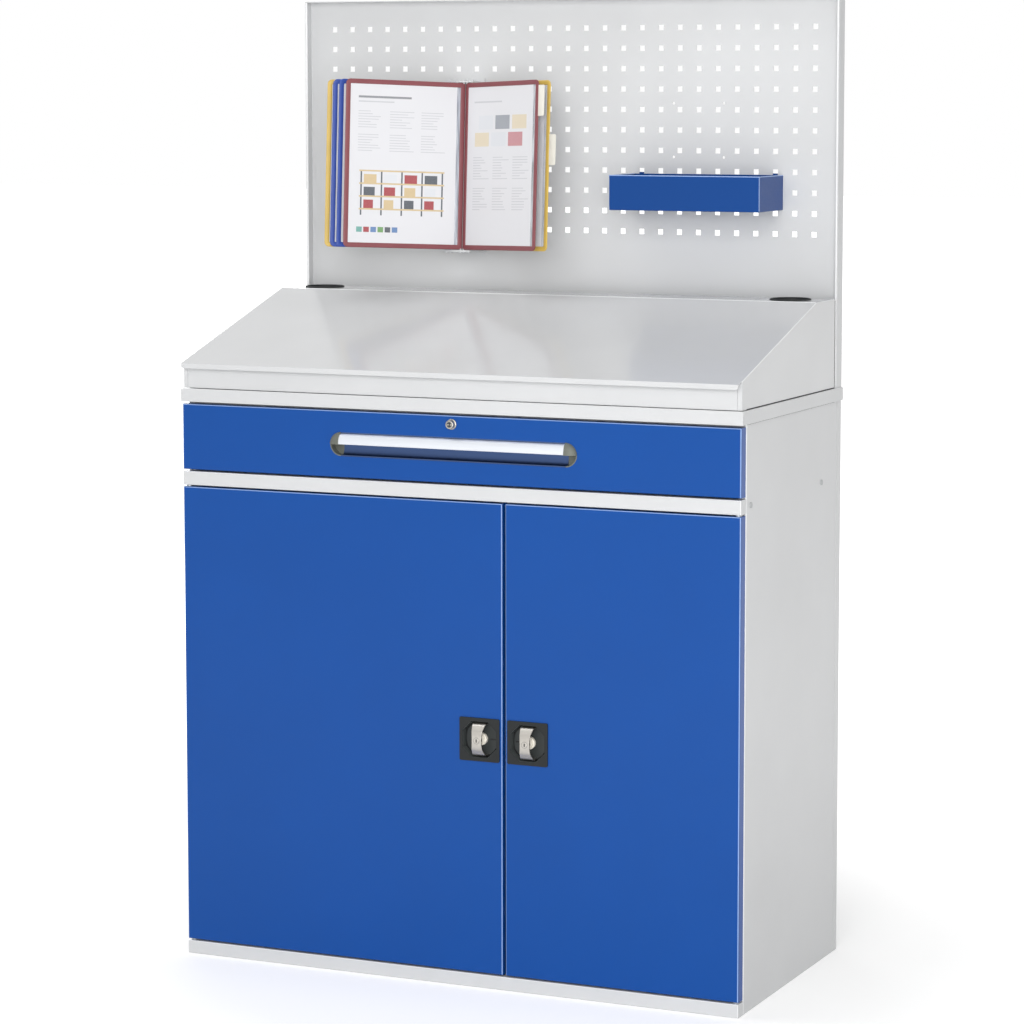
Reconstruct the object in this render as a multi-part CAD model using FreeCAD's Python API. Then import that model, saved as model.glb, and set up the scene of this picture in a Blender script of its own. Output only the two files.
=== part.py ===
import FreeCAD, Part
import math
import os

# Standing desk of folded sheet steel: a cupboard with two doors and a drawer, a sloped desk on its cover,
# and a perforated panel behind the desk that carries a tray and a fan of display pages.
# X runs to the right, Y to the back and Z up. The origin is on the floor under the middle of the box.

Vec = FreeCAD.Vector
X_AXIS = Vec(1, 0, 0)
Y_AXIS = Vec(0, 1, 0)
Z_AXIS = Vec(0, 0, 1)

# Whole object
OVERALL_WIDTH = 1100.0
BODY_DEPTH = 520.0
SHEET = 1.5
BEND = 2.0
LEAF_BEND = 3.0
RUNNING_CLEARANCE = 0.05
SLIDING_CLEARANCE = 0.3

# Heights of the front, from the floor up
PLINTH_HEIGHT = 24.5
DOOR_HEIGHT = 848.5
RAIL_HEIGHT = 25.5
DRAWER_HEIGHT = 120.5
COVER_HEIGHT = 24.0
DOOR_GAP = 3.0
DRAWER_GAP = 3.5
COVER_GAP = 4.5

# Carcass
BODY_INSET = 3.0
COVER_SEAM = 2.5
SIDE_FLANGE = 15.0
LEAF_GAP = 3.0
BACK_PAN_DEPTH = 24.0
BACK_PAN_GAP = 1.0
TOP_RAIL_LOCK_GAP = 4.5
TOP_RAIL_DEPTH = 20.0
DOOR_SPLIT = 101.0
PARTITION_FLANGE = 30.0
SHELF_LEVEL = 440.0
SHELF_RIM = 25.0
SHELF_SETBACK = 35.0
SHELF_SIDE_GAP = 1.0
BRACKET_WIDTH = 12.0
BRACKET_LENGTH = 20.0
BRACKET_HEIGHT = 12.0
BRACKET_INSET = 40.0

# Fixing screws
SCREW_R = 2.5
SCREW_HEAD_R = 5.0
SCREW_HEAD = 2.0
SIDE_SCREW_FRONT = 21.0
SIDE_SCREW_REAR = 85.0
PANEL_SCREW_SPACING = 260.0
PANEL_SCREW_SETBACK = 12.0

# Desk top
DESK_INSET = 4.0
DESK_SETBACK = 5.0
DESK_LIFT = 1.2
DESK_PANEL_GAP = 7.0
DESK_SHELF_DEPTH = 99.0
DESK_SHELF_HEIGHT = 163.5
LIP_PROUD = 9.0
LIP_HEIGHT = 46.5
LIP_DROP = 9.0
LIP_INSET = 2.0
LIP_CORNER = 5.0
DESK_RETURN = 8.0
DESK_FLANGE = 50.0
DESK_FOOT_R = 8.0
DESK_FOOT_INSET = 40.0
STRIP_GAP = 0.5
STRIP_FLANGE = 20.0
CUP_INSET = 68.0
CUP_R = 35.5
CUP_RIM_R = 38.0
CUP_RIM = 3.0
CUP_DEPTH = 70.0
CUP_WALL = 2.0

# Perforated panel
PANEL_HEIGHT = 713.0
PANEL_DEPTH = 32.0
PANEL_RECESS = 9.0
HOLE_SIZE = 10.0
HOLE_PITCH = 38.0
HOLE_MARGIN = 50.0
FIRST_ROW_RISE = 279.0
SCREEN_SPACING = 100.0
SCREEN_HOLE_R = 2.5
SCREEN_END_COLUMNS = 6
SCREEN_ROWS = 5

# Tray on the panel
TRAY_END_COLUMNS = 2
TRAY_SPAN_COLUMNS = 7
TRAY_ROWS = 3
TRAY_END = 15.0
TRAY_DEPTH = 124.0
TRAY_HEIGHT = 64.5
TRAY_TOP_DROP = 5.5
HOOK_CLEARANCE = 0.5
HOOK_RISE = 2.5
HOOK_DROP = 10.0

# Drawer and its runners
LEAF_DEPTH = 22.0
LEAF_LIP = 18.0
DRAWER_BOX_LIFT = 4.0
DRAWER_LOCK_GAP = 6.5
DRAWER_BACK_GAP = 24.5
RUNNER_WIDTH = 14.0
RUNNER_GAP = 0.5
RUNNER_LIFT = 42.0
RUNNER_HEIGHT = 46.0
RUNNER_STEP = 4.0
RUNNER_SETBACK = 5.0
RUNNER_BACK_GAP = 23.0
RUNNER_FOOT = 25.0
RUNNER_FOOT_INSET = 30.0
BEAD_WIDTH = 3.0

# Grip and lock of the drawer
GRIP_LENGTH = 484.0
GRIP_HEIGHT = 43.5
GRIP_PROUD = 11.0
GRIP_DEPTH = 16.0
GRIP_WALL = 2.0
GRIP_RIM = 1.0
LOCK_DROP = 15.5
LOCK_FLANGE_R = 7.8
LOCK_FLANGE = 10.0
LOCK_ROUND = 1.5
LOCK_BODY_R = 6.5
LOCK_PLUG_R = 5.0
LOCK_PLUG_SETBACK = 0.8
CAM_COVER_GAP = 1.5
CAM_WIDTH = 10.0
CAM_THICKNESS = 2.5
KEY_SLOT_LENGTH = 7.0
KEY_SLOT_WIDTH = 1.4
KEY_SLOT_DEPTH = 4.0

# Doors and their latches
DOOR_SPLIT_GAP = 6.0
HINGE_INSET = 8.0
HINGE_PIN_R = 3.0
HINGE_COLLAR_R = 6.0
HINGE_PIN_REACH = 14.0
BEARING_SIZE = 16.0
STIFFENER_WIDTH = 40.0
STIFFENER_DEPTH = 12.0
LEVER_PROUD = 15.0
PLATE_EDGE = 4.8
PLATE_RIM = 4.5
PLATE_THICKNESS = 2.5
PLATE_CORNER = 3.0
DISH_WIDTH = 66.0
DISH_SIDE = 32.0
DISH_WALL = 1.5
BASE_GAP = 2.0
BASE_THICKNESS = 3.0
SPINDLE_R = 6.0
LEVER_END_GAP = 1.5
LEVER_WAIST = 18.0
LEVER_END_WIDTH = 26.0
LEVER_FOOT = 7.5
LEVER_CENTRE = 7.0
LEVER_BOW = 1.5
LEVER_SHOULDER = 13.5
LEVER_END_DROP = 12.0
LEVER_BEND = 6.0
HUB_R = 11.5
HUB_HEIGHT = 5.7
HUB_ROUND = 3.0
KEY_PLUG_R = 5.5
KEY_PLUG_SETBACK = 0.4
KEY_COLLAR_R = 6.5
KEY_COLLAR = 1.5
KEY_COLLAR_PLAY = 1.6
CRANK_R = 10.0
CRANK_BOSS_R = 4.0
CRANK_THICKNESS = 2.0
CRANK_PIN_R = 2.0
CRANK_PIN_TAIL = 0.4
SLOT_PLAY = 0.5
YOKE_WIDTH = 14.0
YOKE_THICKNESS = 2.1
YOKE_END = 5.5
YOKE_SETBACK = 2.8
YOKE_LAP = 6.0
ROD_R = 4.0
ROD_SETBACK = 0.2
ROD_START_GAP = 5.5
ROD_TIP = 0.7
GUIDE_WIDTH = 18.0
GUIDE_HEIGHT = 10.0
GUIDE_NEAR = 150.0
GUIDE_FAR = 330.0

# Page display
DISPLAY_END_COLUMNS = 8
DISPLAY_RISE = 398.5
DISPLAY_STANDOFF = 58.0
DISPLAY_LEAN = 3.3
PAGE_WIDTH = 235.0
PAGE_HEIGHT = 316.0
PAGE_THICKNESS = 3.0
PAGE_BAR = 9.0
PAGE_CORNER = 9.0
PAGE_TAIL = 3.0
SHEET_THICKNESS = 1.0
PIVOT_GAP = 7.0
PIVOT_STEP = 10.0
PIVOT_PIN_R = 1.75
PIVOT_PIN_LENGTH = 4.0
LEFT_PAGES = 4
RIGHT_PAGES = 2
LEFT_ANGLE = 43.5
RIGHT_ANGLE = 30.0
PAGE_STEP_ANGLE = 4.0
TAB_WIDTH = 18.0
TAB_HEIGHT = 57.0
TAB_FIRST_DROP = 10.0
TAB_STEP = 90.0
ARM_GAP = 1.0
ARM_THICKNESS = 3.0
ARM_MARGIN = 5.0
DISPLAY_PLATE = 3.0
DISPLAY_PLATE_RISE = 4.0

# Levels of the front
DOOR_BOTTOM = PLINTH_HEIGHT + DOOR_GAP
DOOR_TOP = DOOR_BOTTOM + DOOR_HEIGHT
RAIL_BOTTOM = DOOR_TOP + DOOR_GAP
RAIL_TOP = RAIL_BOTTOM + RAIL_HEIGHT
DRAWER_BOTTOM = RAIL_TOP + DRAWER_GAP
DRAWER_TOP = DRAWER_BOTTOM + DRAWER_HEIGHT
COVER_BOTTOM = DRAWER_TOP + COVER_GAP
COVER_TOP = COVER_BOTTOM + COVER_HEIGHT
SIDE_TOP = COVER_TOP - SHEET
PANEL_TOP = COVER_TOP + PANEL_HEIGHT

# Planes across the body
COVER_HALF = OVERALL_WIDTH / 2
BODY_HALF = COVER_HALF - BODY_INSET
INNER_HALF = BODY_HALF - SHEET
FRONT = -(BODY_DEPTH - LEVER_PROUD) / 2
BACK = FRONT + BODY_DEPTH
LEAF_BACK = FRONT + LEAF_DEPTH
SIDE_FRONT = LEAF_BACK + LEAF_GAP
SIDE_BACK = BACK - BACK_PAN_DEPTH
INNER_FRONT = SIDE_FRONT + SHEET
INNER_BACK = SIDE_BACK - SHEET

# Doors, levers and rods
DOOR_SPANS = {
    "left": (-BODY_HALF, DOOR_SPLIT - DOOR_SPLIT_GAP / 2),
    "right": (DOOR_SPLIT + DOOR_SPLIT_GAP / 2, BODY_HALF),
}
HINGE_X = {"left": HINGE_INSET - BODY_HALF, "right": BODY_HALF - HINGE_INSET}
HINGE_Y = FRONT + LEAF_DEPTH / 2
DISH_BODY_WIDTH = DISH_WIDTH + 2 * DISH_WALL
PLATE_SIZE = DISH_BODY_WIDTH + 2 * PLATE_RIM
LEVER_INSET = DOOR_SPLIT_GAP / 2 + PLATE_EDGE + PLATE_SIZE / 2
LEVER_X = {"left": DOOR_SPLIT - LEVER_INSET, "right": DOOR_SPLIT + LEVER_INSET}
LEVER_Z = DOOR_BOTTOM + DOOR_HEIGHT / 2
YOKE_BACK = LEAF_BACK - YOKE_SETBACK
YOKE_FRONT = YOKE_BACK - YOKE_THICKNESS
CRANK_BACK = YOKE_FRONT - SLIDING_CLEARANCE
CRANK_FRONT = CRANK_BACK - CRANK_THICKNESS
DISH_BACK = CRANK_FRONT - SLIDING_CLEARANCE
DISH_FLOOR = DISH_BACK - DISH_WALL
BASE_BACK = DISH_FLOOR - SLIDING_CLEARANCE
BASE_FRONT = BASE_BACK - BASE_THICKNESS
BASE_R = DISH_WIDTH / 2 - BASE_GAP
LEVER_HALF = BASE_R - LEVER_END_GAP
CRANK_THROW = CRANK_R * math.cos(math.radians(45))
ROD_OFFSET = (CRANK_R + CRANK_THROW) / 2
ROD_Y = YOKE_BACK - ROD_SETBACK - ROD_R
ROD_START = DISH_BODY_WIDTH / 2 + ROD_START_GAP

# Drawer
RUNNER_OUT = BODY_HALF - SIDE_FLANGE - RUNNER_GAP
DRAWER_HALF = RUNNER_OUT - RUNNER_WIDTH
RUNNER_Z = DRAWER_BOTTOM + RUNNER_LIFT
RUNNER_FRONT = INNER_FRONT + RUNNER_SETBACK
RUNNER_BACK = INNER_BACK - RUNNER_BACK_GAP
GRIP_Z = DRAWER_BOTTOM + DRAWER_HEIGHT / 2
GRIP_R = GRIP_HEIGHT / 2
GRIP_END_X = GRIP_LENGTH / 2 - GRIP_R
LOCK_Z = DRAWER_TOP - LOCK_DROP
CAM_LENGTH = LOCK_DROP + COVER_GAP - CAM_COVER_GAP
LOCK_BACK = INNER_FRONT + SHEET

# Perforated panel
PANEL_FRONT = BACK - PANEL_DEPTH
PANEL_FACE = BACK - PANEL_RECESS
FIRST_ROW = COVER_TOP + FIRST_ROW_RISE
HOLE_COLUMNS = int((BODY_HALF - HOLE_MARGIN) / HOLE_PITCH)
HOLE_ROWS = int((PANEL_TOP - HOLE_MARGIN - FIRST_ROW) / HOLE_PITCH) + 1
HOOK_WIDTH = HOLE_SIZE - 2 * HOOK_CLEARANCE
PANEL_SCREW_Y = PANEL_FRONT + PANEL_SCREW_SETBACK

# Desk top
DESK_HALF = COVER_HALF - DESK_INSET
DESK_FRONT = FRONT + DESK_SETBACK
DESK_BACK = PANEL_FRONT - DESK_PANEL_GAP
DESK_BASE = COVER_TOP + DESK_LIFT
DESK_SHELF = COVER_TOP + DESK_SHELF_HEIGHT
FOLD_Y = DESK_BACK - DESK_SHELF_DEPTH
LIP_FRONT = FRONT - LIP_PROUD
LIP_TOP = COVER_TOP + LIP_HEIGHT
SLOPE = (DESK_SHELF - LIP_TOP) / (FOLD_Y - LIP_FRONT)
SLOPE_SHEET = SHEET * math.sqrt(1 + SLOPE ** 2)
CUP_X = DESK_HALF - CUP_INSET
CUP_Y = DESK_BACK - DESK_SHELF_DEPTH / 2

# Page display
DISPLAY_X = (DISPLAY_END_COLUMNS - HOLE_COLUMNS) * HOLE_PITCH
DISPLAY_Y = PANEL_FACE - DISPLAY_STANDOFF
DISPLAY_LEVEL = COVER_TOP + DISPLAY_RISE
PAGE_HALF = PAGE_HEIGHT / 2
PAGE_REACH = PAGE_WIDTH - PAGE_TAIL
ARM_BASE = PAGE_HALF + ARM_GAP


def block(x0, x1, y0, y1, z0, z1):
    """Rectangular block between pairs of planes, given in either order."""
    low = Vec(min(x0, x1), min(y0, y1), min(z0, z1))
    return Part.makeBox(abs(x1 - x0), abs(y1 - y0), abs(z1 - z0), low)


def round_x(y, z, radius, x0, x1):
    """Cylinder along X."""
    return Part.makeCylinder(radius, abs(x1 - x0), Vec(min(x0, x1), y, z), X_AXIS)


def round_y(x, z, radius, y0, y1):
    """Cylinder along Y."""
    return Part.makeCylinder(radius, abs(y1 - y0), Vec(x, min(y0, y1), z), Y_AXIS)


def round_z(x, y, radius, z0, z1):
    """Cylinder along Z."""
    return Part.makeCylinder(radius, abs(z1 - z0), Vec(x, y, min(z0, z1)), Z_AXIS)


def join(shapes):
    """One solid from shapes that meet."""
    return shapes[0].multiFuse(shapes[1:]).removeSplitter()


def profile_x(edges, x0, x1):
    """Solid from a closed outline in the YZ plane at X = 0, carried from x0 to x1."""
    face = Part.Face(Part.Wire(edges))
    face.translate(Vec(x0, 0, 0))
    return face.extrude(Vec(x1 - x0, 0, 0))


def polygon_yz(points):
    """Edges of a closed polygon of (y, z) points in the YZ plane."""
    return Part.makePolygon([Vec(0, y, z) for y, z in points + points[:1]]).Edges


def octagon(x, z, width, side, y0, y1):
    """Octagonal prism along Y, with its upright and level sides of the given length."""
    half, flat = width / 2, side / 2
    corners = [(-half, -flat), (-half, flat), (-flat, half), (flat, half),
               (half, flat), (half, -flat), (flat, -half), (-flat, -half)]
    points = [Vec(x + dx, y0, z + dz) for dx, dz in corners + corners[:1]]
    return Part.Face(Part.makePolygon(points)).extrude(Vec(0, y1 - y0, 0))


def lies_at(edge, line):
    """True where an edge keeps the coordinates that the line gives."""
    box = edge.BoundBox
    spans = {"x": (box.XMin, box.XMax), "y": (box.YMin, box.YMax), "z": (box.ZMin, box.ZMax)}
    return all(abs(limit - value) < 1e-4 for key, value in line.items() for limit in spans[key])


def soften(shape, radius, lines):
    """Round the edges that lie on any of the given lines."""
    return shape.makeFillet(radius, [e for e in shape.Edges if any(lies_at(e, line) for line in lines)])


def tray(x, y, z, open_side, lines=()):
    """Folded tray of sheet, open on one side, with the bends on the given lines rounded."""
    low = [x[0] + SHEET, y[0] + SHEET, z[0] + SHEET]
    high = [x[1] - SHEET, y[1] - SHEET, z[1] - SHEET]
    axis, end = {"front": (1, low), "rear": (1, high), "bottom": (2, low), "top": (2, high)}[open_side]
    end[axis] += 2 * SHEET if end is high else -2 * SHEET
    outer = block(*x, *y, *z)
    if lines:
        outer = soften(outer, BEND, lines)
    return outer.cut(block(low[0], high[0], low[1], high[1], low[2], high[2]))


def front_bends(x, z):
    """Lines of the bends around a front face."""
    upright = [{"x": edge, "y": FRONT} for edge in x]
    return upright + [{"y": FRONT, "z": edge} for edge in z]


def leaf_pan(x, z):
    """Front leaf of a door or drawer: a sheet with its edges folded back and in."""
    outer = soften(block(*x, FRONT, LEAF_BACK, *z), LEAF_BEND, front_bends(x, z))
    hollow = block(x[0] + SHEET, x[1] - SHEET, FRONT + SHEET, LEAF_BACK - SHEET, z[0] + SHEET, z[1] - SHEET)
    window = block(x[0] + LEAF_LIP, x[1] - LEAF_LIP, LEAF_BACK - 2 * SHEET, LEAF_BACK + SHEET,
                   z[0] + LEAF_LIP, z[1] - LEAF_LIP)
    return outer.cut([hollow, window])


def side_screw_places():
    """Depth and height of the screws that hold the divider between the sides."""
    level = RAIL_BOTTOM + RAIL_HEIGHT / 2
    return [(SIDE_FRONT + SIDE_SCREW_FRONT, level), (SIDE_BACK - SIDE_SCREW_REAR, level)]


def panel_screw_places():
    """X of the screws that hold the perforated panel on the cover."""
    return [PANEL_SCREW_SPACING * step for step in (-1.5, -0.5, 0.5, 1.5)]


def side_panel(sign):
    """Side wall with flanges along its front, back and top."""
    outer, inner, lip = sign * BODY_HALF, sign * INNER_HALF, sign * (BODY_HALF - SIDE_FLANGE)
    wall = block(outer, inner, SIDE_FRONT, SIDE_BACK, 0, SIDE_TOP)
    front = block(outer, lip, SIDE_FRONT, INNER_FRONT, 0, SIDE_TOP)
    rear = block(outer, lip, INNER_BACK, SIDE_BACK, 0, SIDE_TOP)
    top = block(outer, lip, SIDE_FRONT, SIDE_BACK, SIDE_TOP - SHEET, SIDE_TOP)
    bends = [{"x": outer, "y": SIDE_FRONT}, {"x": outer, "y": SIDE_BACK}]
    panel = soften(join([wall, front, rear, top]), BEND, bends)
    reach = (outer + sign * SHEET, inner - sign * SHEET)
    return panel.cut([round_x(y, z, SCREW_R, *reach) for y, z in side_screw_places()])


def front_rail(bottom, top):
    """Closed-ended rail across the front, open at the back."""
    x, z = (-BODY_HALF, BODY_HALF), (bottom, top)
    return tray(x, (FRONT, SIDE_FRONT), z, "rear", front_bends(x, z))


def rail_holes(sign, low, high):
    """Holes in a rail for the hinge pins and for the rods that point to it."""
    pins = [round_z(x, HINGE_Y, HINGE_PIN_R, low, high) for x in HINGE_X.values()]
    hole_r = ROD_R + 2 * SLIDING_CLEARANCE
    rods = [round_z(x + sign * ROD_OFFSET, ROD_Y, hole_r, low, high) for x in LEVER_X.values()]
    return pins + rods


def plinth_rail():
    """Rail under the doors."""
    holes = rail_holes(-1, PLINTH_HEIGHT - 2 * SHEET, PLINTH_HEIGHT + SHEET)
    return front_rail(0, PLINTH_HEIGHT).cut(holes)


def middle_rail():
    """Rail between the doors and the drawer."""
    holes = rail_holes(1, RAIL_BOTTOM - SHEET, RAIL_BOTTOM + 2 * SHEET)
    return front_rail(RAIL_BOTTOM, RAIL_TOP).cut(holes)


def top_rail():
    """Angle behind the rim of the cover. The drawer lock's cam turns up behind its flange."""
    flange_bottom, top = LOCK_Z + LOCK_BODY_R + TOP_RAIL_LOCK_GAP, SIDE_TOP - SHEET
    flange = block(-INNER_HALF, INNER_HALF, INNER_FRONT, LOCK_BACK, flange_bottom, top)
    web_half = BODY_HALF - SIDE_FLANGE - RUNNER_GAP
    web = block(-web_half, web_half, INNER_FRONT - TOP_RAIL_DEPTH, INNER_FRONT, top - SHEET, top)
    return join([flange, web])


def back_panel():
    """Pan that closes the back of the cupboard."""
    bends = [{"x": -BODY_HALF, "y": BACK}, {"x": BODY_HALF, "y": BACK}]
    return tray((-BODY_HALF, BODY_HALF), (SIDE_BACK, BACK), (0, COVER_BOTTOM - BACK_PAN_GAP), "front", bends)


def bottom_panel():
    """Floor of the cupboard, turned down to the ground."""
    return tray((-INNER_HALF, INNER_HALF), (INNER_FRONT, INNER_BACK), (0, PLINTH_HEIGHT), "bottom")


def divider_panel():
    """Tray between the cupboard and the drawer, screwed to the sides."""
    panel = tray((-INNER_HALF, INNER_HALF), (INNER_FRONT, INNER_BACK), (RAIL_BOTTOM, RAIL_TOP), "top")
    reach = INNER_HALF + SHEET
    return panel.cut([round_x(y, z, SCREW_R, -reach, reach) for y, z in side_screw_places()])


def partition():
    """Upright wall between the two cupboards, flanged at the front and back."""
    levels = (PLINTH_HEIGHT, RAIL_BOTTOM)
    web = block(DOOR_SPLIT - SHEET / 2, DOOR_SPLIT + SHEET / 2, INNER_FRONT, INNER_BACK, *levels)
    flange_x = (DOOR_SPLIT - PARTITION_FLANGE / 2, DOOR_SPLIT + PARTITION_FLANGE / 2)
    front = block(*flange_x, INNER_FRONT, INNER_FRONT + SHEET, *levels)
    rear = block(*flange_x, INNER_BACK - SHEET, INNER_BACK, *levels)
    return join([web, front, rear])


def cupboard_spans():
    """Inside width of each cupboard."""
    return {"left": (-INNER_HALF, DOOR_SPLIT - SHEET / 2), "right": (DOOR_SPLIT + SHEET / 2, INNER_HALF)}


def shelf_depths():
    """Front and back of the shelves."""
    return INNER_FRONT + SHELF_SETBACK, INNER_BACK - SHELF_SETBACK


def shelf(side):
    """Shelf with its edges turned down."""
    low, high = cupboard_spans()[side]
    span = (low + SHELF_SIDE_GAP, high - SHELF_SIDE_GAP)
    return tray(span, shelf_depths(), (SHELF_LEVEL - SHELF_RIM, SHELF_LEVEL), "bottom")


def shelf_brackets():
    """Brackets on the walls, under the rims of the shelves."""
    top = SHELF_LEVEL - SHELF_RIM
    front, rear = shelf_depths()
    brackets = []
    for low, high in cupboard_spans().values():
        for x0, x1 in ((low, low + BRACKET_WIDTH), (high - BRACKET_WIDTH, high)):
            for y in (front + BRACKET_INSET, rear - BRACKET_INSET - BRACKET_LENGTH):
                brackets.append(block(x0, x1, y, y + BRACKET_LENGTH, top - BRACKET_HEIGHT, top))
    return Part.makeCompound(brackets)


def top_cover():
    """Lid over the cupboard with its rim turned down all round and a slit at each front corner of the rim."""
    x, y = (-COVER_HALF, COVER_HALF), (FRONT, BACK)
    bends = [{"x": x[0], "z": COVER_TOP}, {"x": x[1], "z": COVER_TOP}, {"y": y[0], "z": COVER_TOP},
             {"y": y[1], "z": COVER_TOP}]
    cover = tray(x, y, (COVER_BOTTOM, COVER_TOP), "bottom", bends)
    reach = (SIDE_TOP - SHEET, COVER_TOP + SHEET)
    cuts = [round_z(place, PANEL_SCREW_Y, SCREW_R, *reach) for place in panel_screw_places()]
    for edge in x:
        cuts.append(block(edge - SHEET, edge + SHEET, FRONT + SHEET, FRONT + SHEET + COVER_SEAM,
                          COVER_BOTTOM, COVER_TOP - 2 * BEND))
    return cover.cut(cuts)


def fixing_screws():
    """Screws through the sides into the divider, and through the panel's foot into the cover."""
    screws = []
    for sign in (-1, 1):
        outer = sign * BODY_HALF
        for y, z in side_screw_places():
            head = round_x(y, z, SCREW_HEAD_R, outer, outer + sign * SCREW_HEAD)
            screws.append(join([head, round_x(y, z, SCREW_R, outer, sign * (INNER_HALF - SHEET))]))
    seat = COVER_TOP + SHEET
    for x in panel_screw_places():
        head = round_z(x, PANEL_SCREW_Y, SCREW_HEAD_R, seat, seat + SCREW_HEAD)
        screws.append(join([head, round_z(x, PANEL_SCREW_Y, SCREW_R, SIDE_TOP, seat)]))
    return Part.makeCompound(screws)


def hinge_pin(x, rail_face, direction):
    """Pin from a rail into a door, with a collar that fills most of the gap."""
    collar_end = rail_face + direction * (DOOR_GAP - SLIDING_CLEARANCE)
    tip = rail_face + direction * (DOOR_GAP + HINGE_PIN_REACH)
    tail = rail_face - direction * 2 * SHEET
    collar = round_z(x, HINGE_Y, HINGE_COLLAR_R, rail_face, collar_end)
    return join([collar, round_z(x, HINGE_Y, HINGE_PIN_R, tail, tip)])


def hinge_pins():
    """Pins of both doors, standing on the plinth and hanging from the middle rail."""
    pins = []
    for x in HINGE_X.values():
        pins.append(hinge_pin(x, PLINTH_HEIGHT, 1))
        pins.append(hinge_pin(x, RAIL_BOTTOM, -1))
    return Part.makeCompound(pins)


def slope_level(y):
    """Height of the desk's writing surface at a depth."""
    return DESK_SHELF - (FOLD_Y - y) * SLOPE


def desk_folds():
    """Slope, shelf, back and sides of the desk, hollow and open at the front and below."""
    outline = [(DESK_FRONT, DESK_BASE), (DESK_FRONT, slope_level(DESK_FRONT)), (FOLD_Y, DESK_SHELF),
               (DESK_BACK, DESK_SHELF), (DESK_BACK, DESK_BASE)]
    outer = profile_x(polygon_yz(outline), -DESK_HALF, DESK_HALF)
    ridge = [e for e in outer.Edges if e.BoundBox.XLength < BEND < e.BoundBox.YLength
             and e.BoundBox.ZMax > DESK_SHELF - BEND]
    ahead, below = DESK_FRONT - SHEET, DESK_BASE - SHEET
    inside = [(ahead, below), (ahead, slope_level(ahead) - SLOPE_SHEET),
              (FOLD_Y, DESK_SHELF - SLOPE_SHEET), (FOLD_Y + SLOPE * SHEET, DESK_SHELF - SHEET),
              (DESK_BACK - SHEET, DESK_SHELF - SHEET), (DESK_BACK - SHEET, below)]
    hollow = profile_x(polygon_yz(inside), SHEET - DESK_HALF, DESK_HALF - SHEET)
    return outer.makeFillet(BEND, ridge).cut(hollow)


def desk_lip():
    """Front edge of the slope, turned down so that paper stays on it."""
    end, foot = DESK_FRONT + SHEET, slope_level(LIP_FRONT) - LIP_DROP
    behind = LIP_FRONT + SHEET
    outline = [(end, slope_level(end)), (LIP_FRONT, slope_level(LIP_FRONT)), (LIP_FRONT, foot),
               (behind, foot), (behind, slope_level(behind) - SLOPE_SHEET),
               (end, slope_level(end) - SLOPE_SHEET)]
    half = DESK_HALF - LIP_INSET
    lip = profile_x(polygon_yz(outline), -half, half)
    return soften(lip, LIP_CORNER, [{"x": -half, "z": foot}, {"x": half, "z": foot}])


def desk_edge(sign):
    """Front return, bottom flange and feet of one side of the desk."""
    edge = sign * DESK_HALF
    return_top = slope_level(DESK_FRONT) - 2 * SLOPE_SHEET
    strip_back = DESK_FRONT + 2 * SHEET + STRIP_GAP
    pieces = [
        block(edge, edge - sign * DESK_RETURN, DESK_FRONT, DESK_FRONT + SHEET, DESK_BASE, return_top),
        block(edge, edge - sign * DESK_FLANGE, strip_back, DESK_BACK, DESK_BASE, DESK_BASE + SHEET),
    ]
    for y in (DESK_FRONT + DESK_FOOT_INSET, DESK_BACK - DESK_FOOT_INSET):
        pieces.append(round_z(edge - sign * DESK_FOOT_INSET, y, DESK_FOOT_R, COVER_TOP, DESK_BASE))
    return pieces


def desk_shell():
    """Desk of one folded sheet, with holes for the cups."""
    shell = join([desk_folds(), desk_lip()] + desk_edge(-1) + desk_edge(1))
    reach = (DESK_SHELF - 2 * SHEET, DESK_SHELF + SHEET)
    return shell.cut([round_z(sign * CUP_X, CUP_Y, CUP_R, *reach) for sign in (-1, 1)])


def desk_front():
    """Front strip of the desk, hung behind the returns of the sides."""
    half = DESK_HALF - DESK_RETURN - STRIP_GAP
    top = slope_level(DESK_FRONT) - 2 * SLOPE_SHEET - STRIP_GAP
    face_back = DESK_FRONT + SHEET
    pieces = [block(-half, half, DESK_FRONT, face_back, DESK_BASE, top)]
    for sign in (-1, 1):
        tab_x = (sign * (half - DESK_RETURN), sign * (DESK_HALF - SHEET - STRIP_GAP))
        pieces.append(block(*tab_x, face_back, face_back + SHEET, DESK_BASE + 2 * SHEET, top))
    foot = DESK_HALF - DESK_FLANGE - STRIP_GAP
    pieces.append(block(-foot, foot, DESK_FRONT, DESK_FRONT + STRIP_FLANGE, DESK_BASE, DESK_BASE + SHEET))
    return join(pieces)


def pen_cups():
    """Two cups that hang by their rims in the desk's shelf."""
    cups = []
    for sign in (-1, 1):
        x = sign * CUP_X
        rim = round_z(x, CUP_Y, CUP_RIM_R, DESK_SHELF, DESK_SHELF + CUP_RIM)
        rim = soften(rim, CUP_RIM / 3, [{"z": DESK_SHELF + CUP_RIM}])
        body = round_z(x, CUP_Y, CUP_R, DESK_SHELF - CUP_DEPTH, DESK_SHELF)
        floor = DESK_SHELF - CUP_DEPTH + CUP_WALL
        hollow = round_z(x, CUP_Y, CUP_R - CUP_WALL, floor, DESK_SHELF + 2 * CUP_RIM)
        cups.append(join([rim, body]).cut(hollow))
    return Part.makeCompound(cups)


def row_level(row):
    """Height of a row of the perforation, counted from the lowest."""
    return FIRST_ROW + row * HOLE_PITCH


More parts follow.
